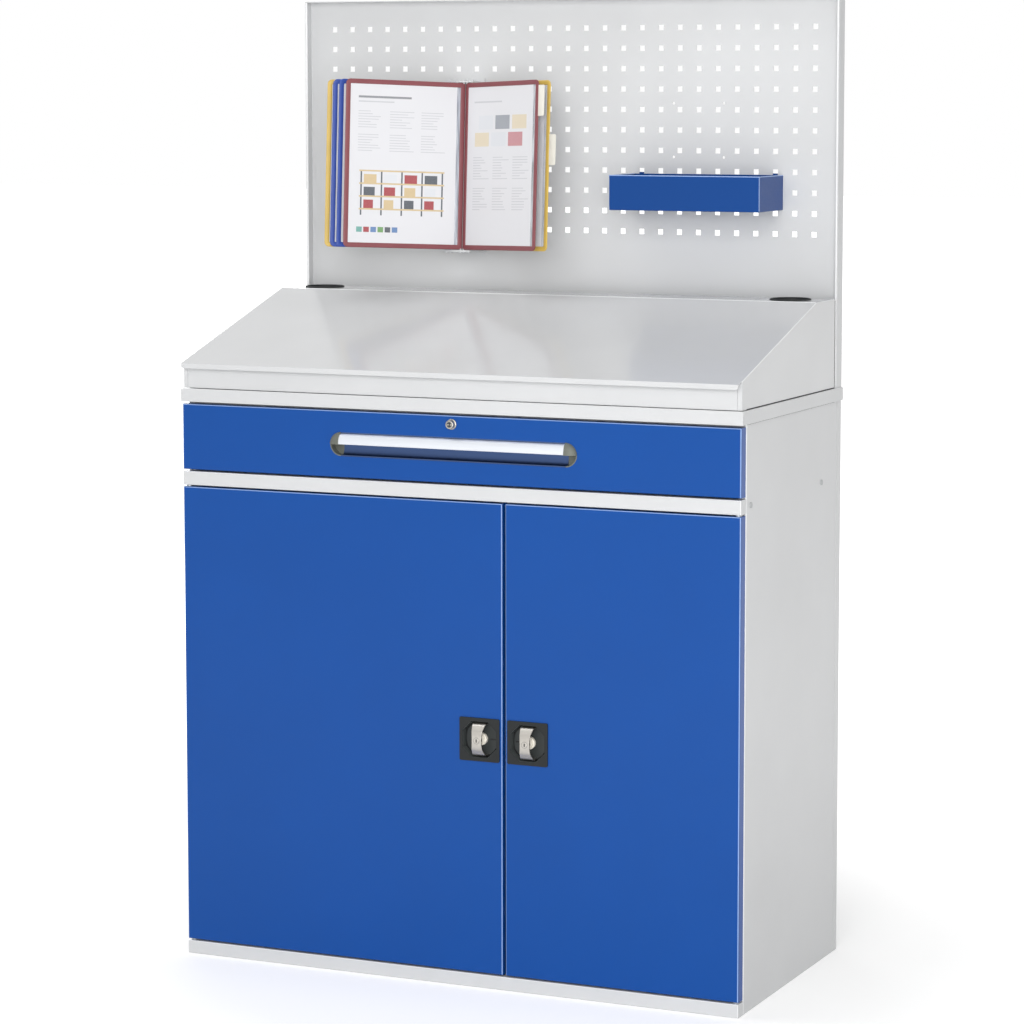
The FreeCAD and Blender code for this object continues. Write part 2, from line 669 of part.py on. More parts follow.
def rear_panel():
    """Perforated panel with its edges flanged, standing on the cover."""
    def square(x, z):
        half = HOLE_SIZE / 2
        corners = [(-half, -half), (half, -half), (half, half), (-half, half), (-half, -half)]
        return Part.makePolygon([Vec(x + dx, PANEL_FACE, z + dz) for dx, dz in corners])

    frame = [(-BODY_HALF, COVER_TOP), (BODY_HALF, COVER_TOP), (BODY_HALF, PANEL_TOP),
             (-BODY_HALF, PANEL_TOP), (-BODY_HALF, COVER_TOP)]
    wires = [Part.makePolygon([Vec(x, PANEL_FACE, z) for x, z in frame])]
    for column in range(-HOLE_COLUMNS, HOLE_COLUMNS + 1):
        wires += [square(column * HOLE_PITCH, row_level(row)) for row in range(HOLE_ROWS)]
    sheet = Part.Face(wires, "Part::FaceMakerBullseye").extrude(Vec(0, SHEET, 0))
    pieces = [sheet]
    for sign in (-1, 1):
        pieces.append(block(sign * BODY_HALF, sign * INNER_HALF, PANEL_FRONT, BACK, COVER_TOP, PANEL_TOP))
    for low in (COVER_TOP, PANEL_TOP - SHEET):
        pieces.append(block(-BODY_HALF, BODY_HALF, PANEL_FRONT, BACK, low, low + SHEET))
    centre_x, centre_z = (HOLE_COLUMNS - SCREEN_END_COLUMNS) * HOLE_PITCH, row_level(SCREEN_ROWS)
    half = SCREEN_SPACING / 2
    holes = [round_y(centre_x + dx, centre_z + dz, SCREEN_HOLE_R, PANEL_FACE - SHEET, PANEL_FACE + 2 * SHEET)
             for dx in (-half, half) for dz in (-half, half)]
    holes += [round_z(x, PANEL_SCREW_Y, SCREW_R, COVER_TOP - SHEET, COVER_TOP + 2 * SHEET)
              for x in panel_screw_places()]
    return join(pieces).cut(holes)


def accessory_tray():
    """Open tray that hooks into two holes of the panel."""
    last = (HOLE_COLUMNS - TRAY_END_COLUMNS) * HOLE_PITCH
    first = last - TRAY_SPAN_COLUMNS * HOLE_PITCH
    top = row_level(TRAY_ROWS) - TRAY_TOP_DROP
    x, z = (first - TRAY_END, last + TRAY_END), (top - TRAY_HEIGHT, top)
    y = (PANEL_FACE - TRAY_DEPTH, PANEL_FACE)
    bends = [{"x": x[0], "y": y[0]}, {"x": x[1], "y": y[0]}, {"y": y[0], "z": z[0]}, {"x": x[0], "z": z[0]},
             {"x": x[1], "z": z[0]}]
    pieces = [tray(x, y, z, "top", bends)]
    ledge = row_level(TRAY_ROWS) - HOLE_SIZE / 2
    behind = PANEL_FACE + SHEET + SLIDING_CLEARANCE
    for column_x in (first, last):
        hook_x = (column_x - HOOK_WIDTH / 2, column_x + HOOK_WIDTH / 2)
        pieces.append(block(*hook_x, PANEL_FACE - SHEET, PANEL_FACE, top - SHEET, ledge + HOOK_RISE))
        pieces.append(block(*hook_x, PANEL_FACE - SHEET, behind + SHEET, ledge, ledge + SHEET))
        pieces.append(block(*hook_x, behind, behind + SHEET, ledge - HOOK_DROP, ledge + SHEET))
    return join(pieces)


def grip_outline():
    """Section of the grip in the YZ plane: a trough with a hood over its upper half."""
    def at(depth, rise):
        return Vec(0, FRONT + depth, GRIP_Z + rise)

    def hood(proud, radius):
        """Quarter of an ellipse from the top of the trough to the hood's lower edge."""
        quarter = Part.Ellipse(at(0, radius), at(-proud, 0), at(0, 0))
        return quarter.toShape(0, math.pi / 2)

    wall, inner = GRIP_WALL, GRIP_R - GRIP_WALL
    edges = [hood(GRIP_PROUD, GRIP_R), hood(GRIP_PROUD - wall, inner)]
    edges += Part.makePolygon([at(-GRIP_PROUD, 0), at(wall - GRIP_PROUD, 0)]).Edges
    rest = [at(0, inner), at(GRIP_DEPTH - wall, inner), at(GRIP_DEPTH - wall, -inner), at(-GRIP_RIM, -inner),
            at(-GRIP_RIM, -GRIP_R), at(GRIP_DEPTH, -GRIP_R), at(GRIP_DEPTH, GRIP_R), at(0, GRIP_R)]
    edges += Part.makePolygon(rest).Edges
    return Part.sortEdges(edges)[0]


def stadium_hole(y0, y1):
    """Round-ended cut for the grip."""
    middle = block(-GRIP_END_X, GRIP_END_X, y0, y1, GRIP_Z - GRIP_R, GRIP_Z + GRIP_R)
    return join([middle] + [round_y(sign * GRIP_END_X, GRIP_Z, GRIP_R, y0, y1) for sign in (-1, 1)])


def drawer_front():
    """Front leaf of the drawer, cut for the grip and the lock."""
    leaf = leaf_pan((-BODY_HALF, BODY_HALF), (DRAWER_BOTTOM, DRAWER_TOP))
    lock_hole = round_y(0, LOCK_Z, LOCK_BODY_R, FRONT - SHEET, LEAF_BACK + SHEET)
    return leaf.cut([stadium_hole(FRONT - SHEET, FRONT + 2 * SHEET), lock_hole])


def drawer_box():
    """Box of the drawer behind its front."""
    levels = (DRAWER_BOTTOM + DRAWER_BOX_LIFT, LOCK_Z - LOCK_BODY_R - DRAWER_LOCK_GAP)
    return tray((-DRAWER_HALF, DRAWER_HALF), (LEAF_BACK, INNER_BACK - DRAWER_BACK_GAP), levels, "top")


def drawer_grip():
    """Extruded grip between its end caps."""
    return profile_x(grip_outline(), -GRIP_END_X, GRIP_END_X)


def grip_caps():
    """Half-round caps at both ends of the grip, with the hood carried round their upper quarter."""
    caps = []
    for sign in (-1, 1):
        x = sign * GRIP_END_X
        floor = FRONT + GRIP_DEPTH - GRIP_WALL
        shell = round_y(x, GRIP_Z, GRIP_R, FRONT, FRONT + GRIP_DEPTH)
        shell = shell.cut(round_y(x, GRIP_Z, GRIP_R - GRIP_WALL, FRONT - SHEET, floor))
        outward = block(x, x + sign * GRIP_LENGTH, FRONT - GRIP_LENGTH, FRONT + GRIP_LENGTH,
                        GRIP_Z - GRIP_LENGTH, GRIP_Z + GRIP_LENGTH)
        shell = shell.common(outward)
        face = Part.Face(Part.Wire(grip_outline()))
        upper = block(-GRIP_R, GRIP_R, FRONT - GRIP_LENGTH, FRONT + GRIP_LENGTH, GRIP_Z, GRIP_Z + GRIP_LENGTH)
        hood = face.common(upper)
        hood.translate(Vec(x, 0, 0))
        dome = hood.Faces[0].revolve(Vec(x, 0, GRIP_Z), Y_AXIS, sign * 90)
        caps.append(join([shell, dome]))
    return Part.makeCompound(caps)


def lock_barrel():
    """Barrel of the drawer lock with its rosette."""
    rosette = soften(round_y(0, LOCK_Z, LOCK_FLANGE_R, FRONT - LOCK_FLANGE, FRONT), LOCK_ROUND,
                     [{"y": FRONT - LOCK_FLANGE}])
    body = round_y(0, LOCK_Z, LOCK_BODY_R, FRONT, LOCK_BACK)
    bore = round_y(0, LOCK_Z, LOCK_PLUG_R + RUNNING_CLEARANCE, FRONT - 2 * LOCK_FLANGE, LOCK_BACK + SHEET)
    return join([rosette, body]).cut(bore)


def key_slot(x, z, face):
    """Cut for a key in the face of a plug, upright at rest."""
    return block(x - KEY_SLOT_WIDTH / 2, x + KEY_SLOT_WIDTH / 2, face - SHEET, face + KEY_SLOT_DEPTH,
                 z - KEY_SLOT_LENGTH / 2, z + KEY_SLOT_LENGTH / 2)


def lock_plug():
    """Plug of the drawer lock, with a cam that lies level while the drawer is free."""
    face = FRONT - LOCK_FLANGE + LOCK_PLUG_SETBACK
    cam_front = LOCK_BACK + SLIDING_CLEARANCE
    cam_back = cam_front + CAM_THICKNESS
    plug = round_y(0, LOCK_Z, LOCK_PLUG_R, face, cam_back)
    half = CAM_WIDTH / 2
    cam = block(half - CAM_LENGTH, 0, cam_front, cam_back, LOCK_Z - half, LOCK_Z + half)
    tip = round_y(half - CAM_LENGTH, LOCK_Z, half, cam_front, cam_back)
    return join([plug, cam, tip]).cut(key_slot(0, LOCK_Z, face))


def runner_bar(sign, near, far, low, high):
    """Bar along a drawer runner, at distances in from its outer face and heights from its middle."""
    return block(sign * (RUNNER_OUT - near), sign * (RUNNER_OUT - far), RUNNER_FRONT, RUNNER_BACK,
                 RUNNER_Z + low, RUNNER_Z + high)


def runner_channel(sign, web, tip, half):
    """Channel of a runner: an upright web and two level flanges."""
    web_far = web + SHEET if tip > web else web - SHEET
    return [runner_bar(sign, web, web_far, -half, half), runner_bar(sign, web, tip, half - SHEET, half),
            runner_bar(sign, web, tip, -half, SHEET - half)]


def runner_outer(sign):
    """Outer member of a runner, on feet that reach the side wall."""
    pieces = runner_channel(sign, 0, RUNNER_WIDTH - SHEET - RUNNER_GAP, RUNNER_HEIGHT / 2)
    for y in (RUNNER_FRONT + RUNNER_FOOT_INSET, RUNNER_BACK - RUNNER_FOOT_INSET - RUNNER_FOOT):
        pieces.append(block(sign * RUNNER_OUT, sign * INNER_HALF, y, y + RUNNER_FOOT,
                            RUNNER_Z - RUNNER_HEIGHT / 4, RUNNER_Z + RUNNER_HEIGHT / 4))
    return join(pieces)


def runner_middle(sign):
    """Middle member of a runner, with the bead tracks that guide it and the inner member."""
    half = RUNNER_HEIGHT / 2 - RUNNER_STEP
    web = RUNNER_WIDTH / 2 - SHEET
    pieces = runner_channel(sign, web, RUNNER_WIDTH - SHEET - RUNNER_GAP, half)
    outer_face = RUNNER_HEIGHT / 2 - SHEET - SLIDING_CLEARANCE
    inner_face = half - RUNNER_STEP + SLIDING_CLEARANCE
    near = RUNNER_WIDTH / 2 + SHEET
    for side in (-1, 1):
        pieces.append(runner_bar(sign, near, near + BEAD_WIDTH, side * half, side * outer_face))
        pieces.append(runner_bar(sign, near, near + BEAD_WIDTH, side * inner_face, side * (half - SHEET)))
    return join(pieces)


def runner_inner(sign):
    """Inner member of a runner, on the side of the drawer."""
    half = RUNNER_HEIGHT / 2 - 2 * RUNNER_STEP
    return join(runner_channel(sign, RUNNER_WIDTH, RUNNER_WIDTH / 2 + RUNNER_GAP, half))


def hinge_bearings(sign):
    """Blocks in the corners of a door that the hinge pins turn in."""
    edge = sign * INNER_HALF
    span = (edge, edge - sign * BEARING_SIZE, FRONT + SHEET, LEAF_BACK - SHEET)
    return [block(*span, low, low + BEARING_SIZE)
            for low in (DOOR_BOTTOM + SHEET, DOOR_TOP - SHEET - BEARING_SIZE)]


def hinge_bores(x):
    """Holes for the hinge pins in the bottom and top of a door."""
    radius = HINGE_PIN_R + RUNNING_CLEARANCE
    depth = HINGE_PIN_REACH + 2 * SLIDING_CLEARANCE
    return [round_z(x, HINGE_Y, radius, DOOR_BOTTOM - SHEET, DOOR_BOTTOM + depth),
            round_z(x, HINGE_Y, radius, DOOR_TOP - depth, DOOR_TOP + SHEET)]


def rod_guides(x, rise):
    """Blocks that guide the rod above or below a lever."""
    span = (x - GUIDE_WIDTH / 2, x + GUIDE_WIDTH / 2, FRONT + SHEET, LEAF_BACK - SHEET)
    levels = [LEVER_Z + rise * distance for distance in (GUIDE_NEAR, GUIDE_FAR)]
    return [block(*span, z - GUIDE_HEIGHT / 2, z + GUIDE_HEIGHT / 2) for z in levels]


def stiffener(x):
    """Channel down the inside of a door."""
    half, front, levels = STIFFENER_WIDTH / 2, FRONT + SHEET, (DOOR_BOTTOM + LEAF_LIP, DOOR_TOP - LEAF_LIP)
    back = front + STIFFENER_DEPTH
    channel = block(x - half, x + half, front, back, *levels)
    return channel.cut(block(x - half + SHEET, x + half - SHEET, front, back - SHEET, *levels))


def door(side):
    """Door leaf with bearing blocks at its hinge, a stiffener and guides for the rods."""
    x0, x1 = DOOR_SPANS[side]
    sign = -1 if side == "left" else 1
    pieces = [leaf_pan((x0, x1), (DOOR_BOTTOM, DOOR_TOP)), stiffener((x0 + x1) / 2 + sign * PLATE_SIZE / 2)]
    pieces += hinge_bearings(sign)
    cut_depth = (FRONT - SHEET, FRONT + 2 * SHEET)
    holes = [octagon(LEVER_X[side], LEVER_Z, DISH_BODY_WIDTH, dish_body_side(), *cut_depth)]
    holes += hinge_bores(HINGE_X[side])
    for rise in (-1, 1):
        rod_x = LEVER_X[side] + rise * ROD_OFFSET
        pieces += rod_guides(rod_x, rise)
        radius = ROD_R + SLIDING_CLEARANCE
        holes.append(round_z(rod_x, ROD_Y, radius, LEVER_Z, LEVER_Z + rise * DOOR_HEIGHT))
    return join(pieces).cut(holes)


def dish_body_side():
    """Length of the upright and level sides of the outside of the dish."""
    return DISH_SIDE + 2 * DISH_WALL * (math.sqrt(2) - 1)


def escutcheon(side):
    """Plate with an octagonal dish that the lever turns in."""
    x, half = LEVER_X[side], PLATE_SIZE / 2
    plate = block(x - half, x + half, FRONT - PLATE_THICKNESS, FRONT, LEVER_Z - half, LEVER_Z + half)
    corners = [{"x": x + dx, "z": LEVER_Z + dz} for dx in (-half, half) for dz in (-half, half)]
    plate = soften(plate, PLATE_CORNER, corners)
    body = octagon(x, LEVER_Z, DISH_BODY_WIDTH, dish_body_side(), FRONT, DISH_BACK)
    dish = octagon(x, LEVER_Z, DISH_WIDTH, DISH_SIDE, FRONT - 2 * PLATE_THICKNESS, DISH_FLOOR)
    bore = round_y(x, LEVER_Z, SPINDLE_R + RUNNING_CLEARANCE, DISH_FLOOR - SHEET, DISH_FLOOR + 2 * DISH_WALL)
    return join([plate, body]).cut([dish, bore])


def lever_base(side):
    """Round base in the dish, with the spindle and the crank with its two pins behind it."""
    x = LEVER_X[side]
    base = round_y(x, LEVER_Z, BASE_R, BASE_FRONT, BASE_BACK)
    spindle = round_y(x, LEVER_Z, SPINDLE_R, BASE_BACK, CRANK_BACK)
    crank = [block(-CRANK_R, CRANK_R, CRANK_FRONT, CRANK_BACK, -CRANK_BOSS_R, CRANK_BOSS_R)]
    for sign in (-1, 1):
        crank.append(round_y(sign * CRANK_R, 0, CRANK_BOSS_R, CRANK_FRONT, CRANK_BACK))
        crank.append(round_y(sign * CRANK_R, 0, CRANK_PIN_R, CRANK_BACK, YOKE_BACK + CRANK_PIN_TAIL))
    arm = join(crank)
    arm.rotate(Vec(0, 0, 0), Y_AXIS, 45)
    arm.translate(Vec(x, 0, LEVER_Z))
    return join([base, spindle, arm])


def lever_outline():
    """Section of the lever's bow in the YZ plane: sloped ends, a bowed front and an arch behind it."""
    def at(y, rise):
        return Vec(0, y, LEVER_Z + rise)

    front, foot, bend = FRONT - LEVER_PROUD, LEVER_HALF - LEVER_FOOT, LEVER_HALF - LEVER_SHOULDER
    shoulder, end, arch = front + LEVER_BOW, front + LEVER_END_DROP, front + LEVER_CENTRE
    edges = [Part.Arc(at(shoulder, -bend), at(front, 0), at(shoulder, bend)).toShape()]
    edges.append(Part.Arc(at(BASE_FRONT, -foot), at(arch, 0), at(BASE_FRONT, foot)).toShape())
    for side in (-1, 1):
        edges += Part.makePolygon([at(shoulder, side * bend), at(end, side * LEVER_HALF),
                                   at(BASE_FRONT, side * LEVER_HALF), at(BASE_FRONT, side * foot)]).Edges
    return Part.sortEdges(edges)[0]


def lever(side):
    """Bowed and waisted grip across the dish, bored for the key plug, and the hub under it."""
    x, front = LEVER_X[side], FRONT - LEVER_PROUD
    bow = profile_x(lever_outline(), x - LEVER_END_WIDTH / 2, x + LEVER_END_WIDTH / 2)
    bend = LEVER_HALF - LEVER_SHOULDER
    bow = soften(bow, LEVER_BEND, [{"y": front + LEVER_BOW, "z": LEVER_Z + rise} for rise in (-bend, bend)])
    flare = (LEVER_END_WIDTH - LEVER_WAIST) / 2
    waist_r = (LEVER_HALF ** 2 + flare ** 2) / (2 * flare)
    reach = (front - SHEET, BASE_FRONT + SHEET)
    cuts = [round_y(x + sign * (LEVER_WAIST / 2 + waist_r), LEVER_Z, waist_r, *reach) for sign in (-1, 1)]
    cuts.append(round_y(x, LEVER_Z, KEY_PLUG_R + RUNNING_CLEARANCE, front - SHEET, front + 2 * LEVER_CENTRE))
    hub = soften(round_y(x, LEVER_Z, HUB_R, BASE_FRONT - HUB_HEIGHT, BASE_FRONT), HUB_ROUND,
                 [{"y": BASE_FRONT - HUB_HEIGHT}])
    return Part.makeCompound([bow.cut(cuts), hub])


def key_plug(side):
    """Plug in the lever, with a collar behind the bow that keeps it in."""
    x, face = LEVER_X[side], FRONT - LEVER_PROUD + KEY_PLUG_SETBACK
    collar_front = FRONT - LEVER_PROUD + LEVER_CENTRE + KEY_COLLAR_PLAY
    plug = round_y(x, LEVER_Z, KEY_PLUG_R, face, collar_front)
    collar = round_y(x, LEVER_Z, KEY_COLLAR_R, collar_front, collar_front + KEY_COLLAR)
    return join([plug, collar]).cut(key_slot(x, LEVER_Z, face))


def latch_rod(side, rise, tip):
    """Rod above or below the lever, with a yoke whose level slot rides on a crank pin."""
    lever_x = LEVER_X[side]
    x, slot_z = lever_x + rise * ROD_OFFSET, LEVER_Z - rise * CRANK_THROW
    yoke = block(x - YOKE_WIDTH / 2, x + YOKE_WIDTH / 2, YOKE_FRONT, YOKE_BACK, slot_z - rise * YOKE_END,
                 LEVER_Z + rise * (ROD_START + YOKE_LAP))
    bar = round_z(x, ROD_Y, ROD_R, LEVER_Z + rise * ROD_START, tip)
    room = CRANK_PIN_R + SLOT_PLAY
    slot = block(lever_x + rise * (CRANK_THROW - room), lever_x + rise * (CRANK_R + room),
                 YOKE_FRONT - SHEET, YOKE_BACK + SHEET, slot_z - room, slot_z + room)
    return join([yoke, bar]).cut(slot)


def hang(shape):
    """Put a shape of the page display in its place, leaning back at the top."""
    shape.rotate(Vec(0, 0, 0), X_AXIS, -DISPLAY_LEAN)
    shape.translate(Vec(DISPLAY_X, DISPLAY_Y, DISPLAY_LEVEL))
    return shape


def pivot_offset(sign, index):
    """Sideways place of a page's pivot from the middle of the display."""
    return sign * (PIVOT_GAP / 2 + index * PIVOT_STEP)


def turn_page(shape, sign, index):
    """Swing a page from the plane of the wall to its place in the fan."""
    angle = (LEFT_ANGLE if sign < 0 else RIGHT_ANGLE) - index * PAGE_STEP_ANGLE
    shape.rotate(Vec(0, 0, 0), Z_AXIS, -sign * angle)
    shape.translate(Vec(pivot_offset(sign, index), 0, 0))
    return hang(shape)


def page_frame(sign, index):
    """Frame of a page with a pivot pin at the top and bottom of its inner edge."""
    half = PAGE_THICKNESS / 2
    outer = sign * PAGE_REACH
    frame = block(-sign * PAGE_TAIL, outer, -half, half, -PAGE_HALF, PAGE_HALF)
    frame = soften(frame, PAGE_CORNER, [{"x": outer, "z": -PAGE_HALF}, {"x": outer, "z": PAGE_HALF}])
    frame = frame.cut(page_opening(sign, PAGE_THICKNESS))
    tip = PAGE_HALF + PIVOT_PIN_LENGTH
    pins = [round_z(0, 0, PIVOT_PIN_R, PAGE_HALF, tip), round_z(0, 0, PIVOT_PIN_R, -tip, -PAGE_HALF)]
    return turn_page(join([frame] + pins), sign, index)


def page_opening(sign, thickness):
    """Block that fills the opening of a page's frame."""
    near, far = sign * (PAGE_BAR - PAGE_TAIL), sign * (PAGE_REACH - PAGE_BAR)
    reach = PAGE_HALF - PAGE_BAR
    return block(near, far, -thickness / 2, thickness / 2, -reach, reach)


def page_insert(sign, index):
    """Clear pocket with its sheet, and on the right a tab at the outer edge."""
    insert = page_opening(sign, SHEET_THICKNESS)
    if sign > 0:
        top = PAGE_HALF - TAB_FIRST_DROP - index * TAB_STEP
        half = SHEET_THICKNESS / 2
        tab = block(PAGE_REACH, PAGE_REACH + TAB_WIDTH, -half, half, top - TAB_HEIGHT, top)
        insert = Part.makeCompound([insert, tab])
    return turn_page(insert, sign, index)


def display_bracket():
    """Plate hooked into the panel, with two arms that hold the pivots of the pages."""
    places = [pivot_offset(-1, index) for index in range(LEFT_PAGES)]
    places += [pivot_offset(1, index) for index in range(RIGHT_PAGES)]
    low_x, high_x = min(places) - ARM_MARGIN, max(places) + ARM_MARGIN
    reach = 2 * DISPLAY_STANDOFF
    arms = []
    for sign in (-1, 1):
        levels = (sign * ARM_BASE, sign * (ARM_BASE + ARM_THICKNESS))
        arm = block(low_x, high_x, -ARM_MARGIN, reach, *levels)
        holes = [round_z(x, 0, PIVOT_PIN_R + RUNNING_CLEARANCE, sign * PAGE_HALF, sign * (PAGE_HALF + reach))
                 for x in places]
        arms.append(hang(arm.cut(holes)))
    behind = block(-BODY_HALF, BODY_HALF, PANEL_FACE, PANEL_FACE + reach, 0, PANEL_TOP)
    rise = ARM_BASE + ARM_THICKNESS + DISPLAY_PLATE_RISE
    plate = block(DISPLAY_X + low_x, DISPLAY_X + high_x, PANEL_FACE - DISPLAY_PLATE, PANEL_FACE,
                  DISPLAY_LEVEL - rise, DISPLAY_LEVEL + rise)
    pieces = [plate] + [arm.cut(behind) for arm in arms]
    peg = HOOK_WIDTH / 2
    rows = [row_level(row) for row in range(HOLE_ROWS)]
    behind_plate = [z for z in rows if abs(z - DISPLAY_LEVEL) < rise - HOOK_WIDTH]
    for z in (behind_plate[0], behind_plate[-1]):
        pieces.append(block(DISPLAY_X - peg, DISPLAY_X + peg, PANEL_FACE - DISPLAY_PLATE,
                            PANEL_FACE + 2 * SHEET, z - peg, z + peg))
    return join(pieces)


def build():
    """Every sub-part by its node name."""
    nodes = {
        "left_side": side_panel(-1),
        "right_side": side_panel(1),
        "back_panel": back_panel(),
        "bottom_panel": bottom_panel(),
        "plinth_rail": plinth_rail(),
        "middle_rail": middle_rail(),
        "top_rail": top_rail(),
        "divider_panel": divider_panel(),
        "partition": partition(),
        "top_cover": top_cover(),
        "left_shelf": shelf("left"),
        "right_shelf": shelf("right"),
        "shelf_brackets": shelf_brackets(),
        "fixing_screws": fixing_screws(),
        "hinge_pins": hinge_pins(),
        "desk_shell": desk_shell(),
        "desk_front": desk_front(),
        "pen_cups": pen_cups(),
        "rear_panel": rear_panel(),
        "accessory_tray": accessory_tray(),
        "display_bracket": display_bracket(),
        "drawer_front": drawer_front(),
        "drawer_box": drawer_box(),
        "drawer_grip": drawer_grip(),
        "grip_caps": grip_caps(),
        "drawer_lock_barrel": lock_barrel(),
        "drawer_lock_plug": lock_plug(),
    }
    for side, sign in (("left", -1), ("right", 1)):
        nodes[side + "_runner_outer"] = runner_outer(sign)
        nodes[side + "_runner_middle"] = runner_middle(sign)
        nodes[side + "_runner_inner"] = runner_inner(sign)
        nodes[side + "_door"] = door(side)
        nodes[side + "_escutcheon"] = escutcheon(side)
        nodes[side + "_lever_base"] = lever_base(side)
        nodes[side + "_lever"] = lever(side)
        nodes[side + "_key_plug"] = key_plug(side)
        nodes[side + "_upper_rod"] = latch_rod(side, 1, DOOR_TOP - ROD_TIP)
        nodes[side + "_lower_rod"] = latch_rod(side, -1, DOOR_BOTTOM + ROD_TIP)
        for index in range(LEFT_PAGES if sign < 0 else RIGHT_PAGES):
            nodes[f"{side}_page_{index + 1}_frame"] = page_frame(sign, index)
            nodes[f"{side}_page_{index + 1}_insert"] = page_insert(sign, index)
    return nodes


os.makedirs("parts", exist_ok=True)
for name, shape in build().items():
    shape.exportStep(f"parts/{name}.step")
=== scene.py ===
"""Looks of a workshop standing desk: finishes, display pages, small fittings, studio and camera.

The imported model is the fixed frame. Lengths here are millimetres in its axes: X to the right, Y to the back
and Z up, with the fronts at negative Y. mesh_piece() turns them to metres.
"""

import logging
import math
from dataclasses import dataclass
from enum import Enum
from typing import Any, Sequence

import bmesh
import bpy
import numpy as np
from mathutils import Matrix, Vector


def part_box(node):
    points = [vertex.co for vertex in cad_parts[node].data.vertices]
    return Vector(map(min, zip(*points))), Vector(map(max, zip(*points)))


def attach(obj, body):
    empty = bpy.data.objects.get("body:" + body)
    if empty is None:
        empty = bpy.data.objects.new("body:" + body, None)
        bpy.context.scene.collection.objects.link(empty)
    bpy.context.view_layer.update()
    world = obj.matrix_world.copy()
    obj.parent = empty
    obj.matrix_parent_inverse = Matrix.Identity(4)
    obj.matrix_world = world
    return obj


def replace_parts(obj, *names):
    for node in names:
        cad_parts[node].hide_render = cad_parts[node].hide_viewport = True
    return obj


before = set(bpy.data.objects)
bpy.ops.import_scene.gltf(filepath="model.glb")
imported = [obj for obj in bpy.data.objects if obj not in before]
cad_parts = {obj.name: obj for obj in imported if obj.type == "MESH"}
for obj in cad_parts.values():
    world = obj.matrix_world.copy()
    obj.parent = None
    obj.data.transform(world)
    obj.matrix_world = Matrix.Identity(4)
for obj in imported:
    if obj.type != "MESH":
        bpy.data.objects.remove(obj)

MM = 0.001
# Y of the outer faces of the doors and of the drawer's front.
FRONT = -252.5
# Points nearer to each other than this, in metres, are one point.
MERGE = 1e-6
# Smooth noise seldom leaves this range.
NOISE_RANGE = (0.3, 0.7)
WHITE = (1.0, 1.0, 1.0, 1.0)
log = logging.getLogger("standing_desk")


class Side(Enum):
    """The two hands of the desk, with the direction of X that each lies in."""

    LEFT = -1
    RIGHT = 1

    @property
    def word(self) -> str:
        """Name of the side as the nodes and bodies spell it."""
        return self.name.lower()


class PageColour(Enum):
    """Colours of the display pages, with the record's slot for each."""

    RED = "red_page_plastic"
    BLUE = "blue_page_plastic"
    YELLOW = "yellow_page_plastic"


class Ink(Enum):
    """Printing inks of the sheets in the display pages."""

    PAPER = "DBDBDE"
    TEXT = "C3C4C8"
    TITLE = "8A8C90"
    TEAL = "6FA59D"
    RED = "A3454A"
    SLATE = "555A61"
    WOOD = "CDB78F"
    BLUE = "6483B0"
    GREEN = "6F9A62"
    PALE = "D6D8DC"
    # Inks washed pale as a painted reflection of the film's glare, for the blocks at the head of one layout.
    GLARE_PALE_RED = "C08A8F"
    GLARE_PALE_SLATE = "9A9EA5"
    GLARE_PALE_WOOD = "D9CDB5"


def linear(code: str) -> tuple[float, float, float, float]:
    """Turn an sRGB hex colour to linear light.

    Args:
        code: six hex digits.

    Returns:
        Red, green, blue and an alpha of 1.
    """
    parts = np.array([int(code[place:place + 2], 16) for place in (0, 2, 4)]) / 255.0
    light = np.where(parts <= 0.04045, parts / 12.92, ((parts + 0.055) / 1.055) ** 2.4)
    return (*light.tolist(), 1.0)


def add_node(tree: bpy.types.NodeTree, kind: str, inputs: dict[Any, Any] | None = None,
             **settings: Any) -> bpy.types.Node:
    """Add a node with its settings and links.

    Args:
        tree: the tree that gets the node.
        kind: Blender's name of the node's type.
        inputs: for each input, by name or number, a value or the socket to link to it.
        settings: properties of the node itself.

    Returns:
        The new node.
    """
    node = tree.nodes.new(kind)
    for name, value in settings.items():
        setattr(node, name, value)
    for name, value in (inputs or {}).items():
        if isinstance(value, bpy.types.NodeSocket):
            tree.links.new(value, node.inputs[name])
        else:
            node.inputs[name].default_value = value
    return node


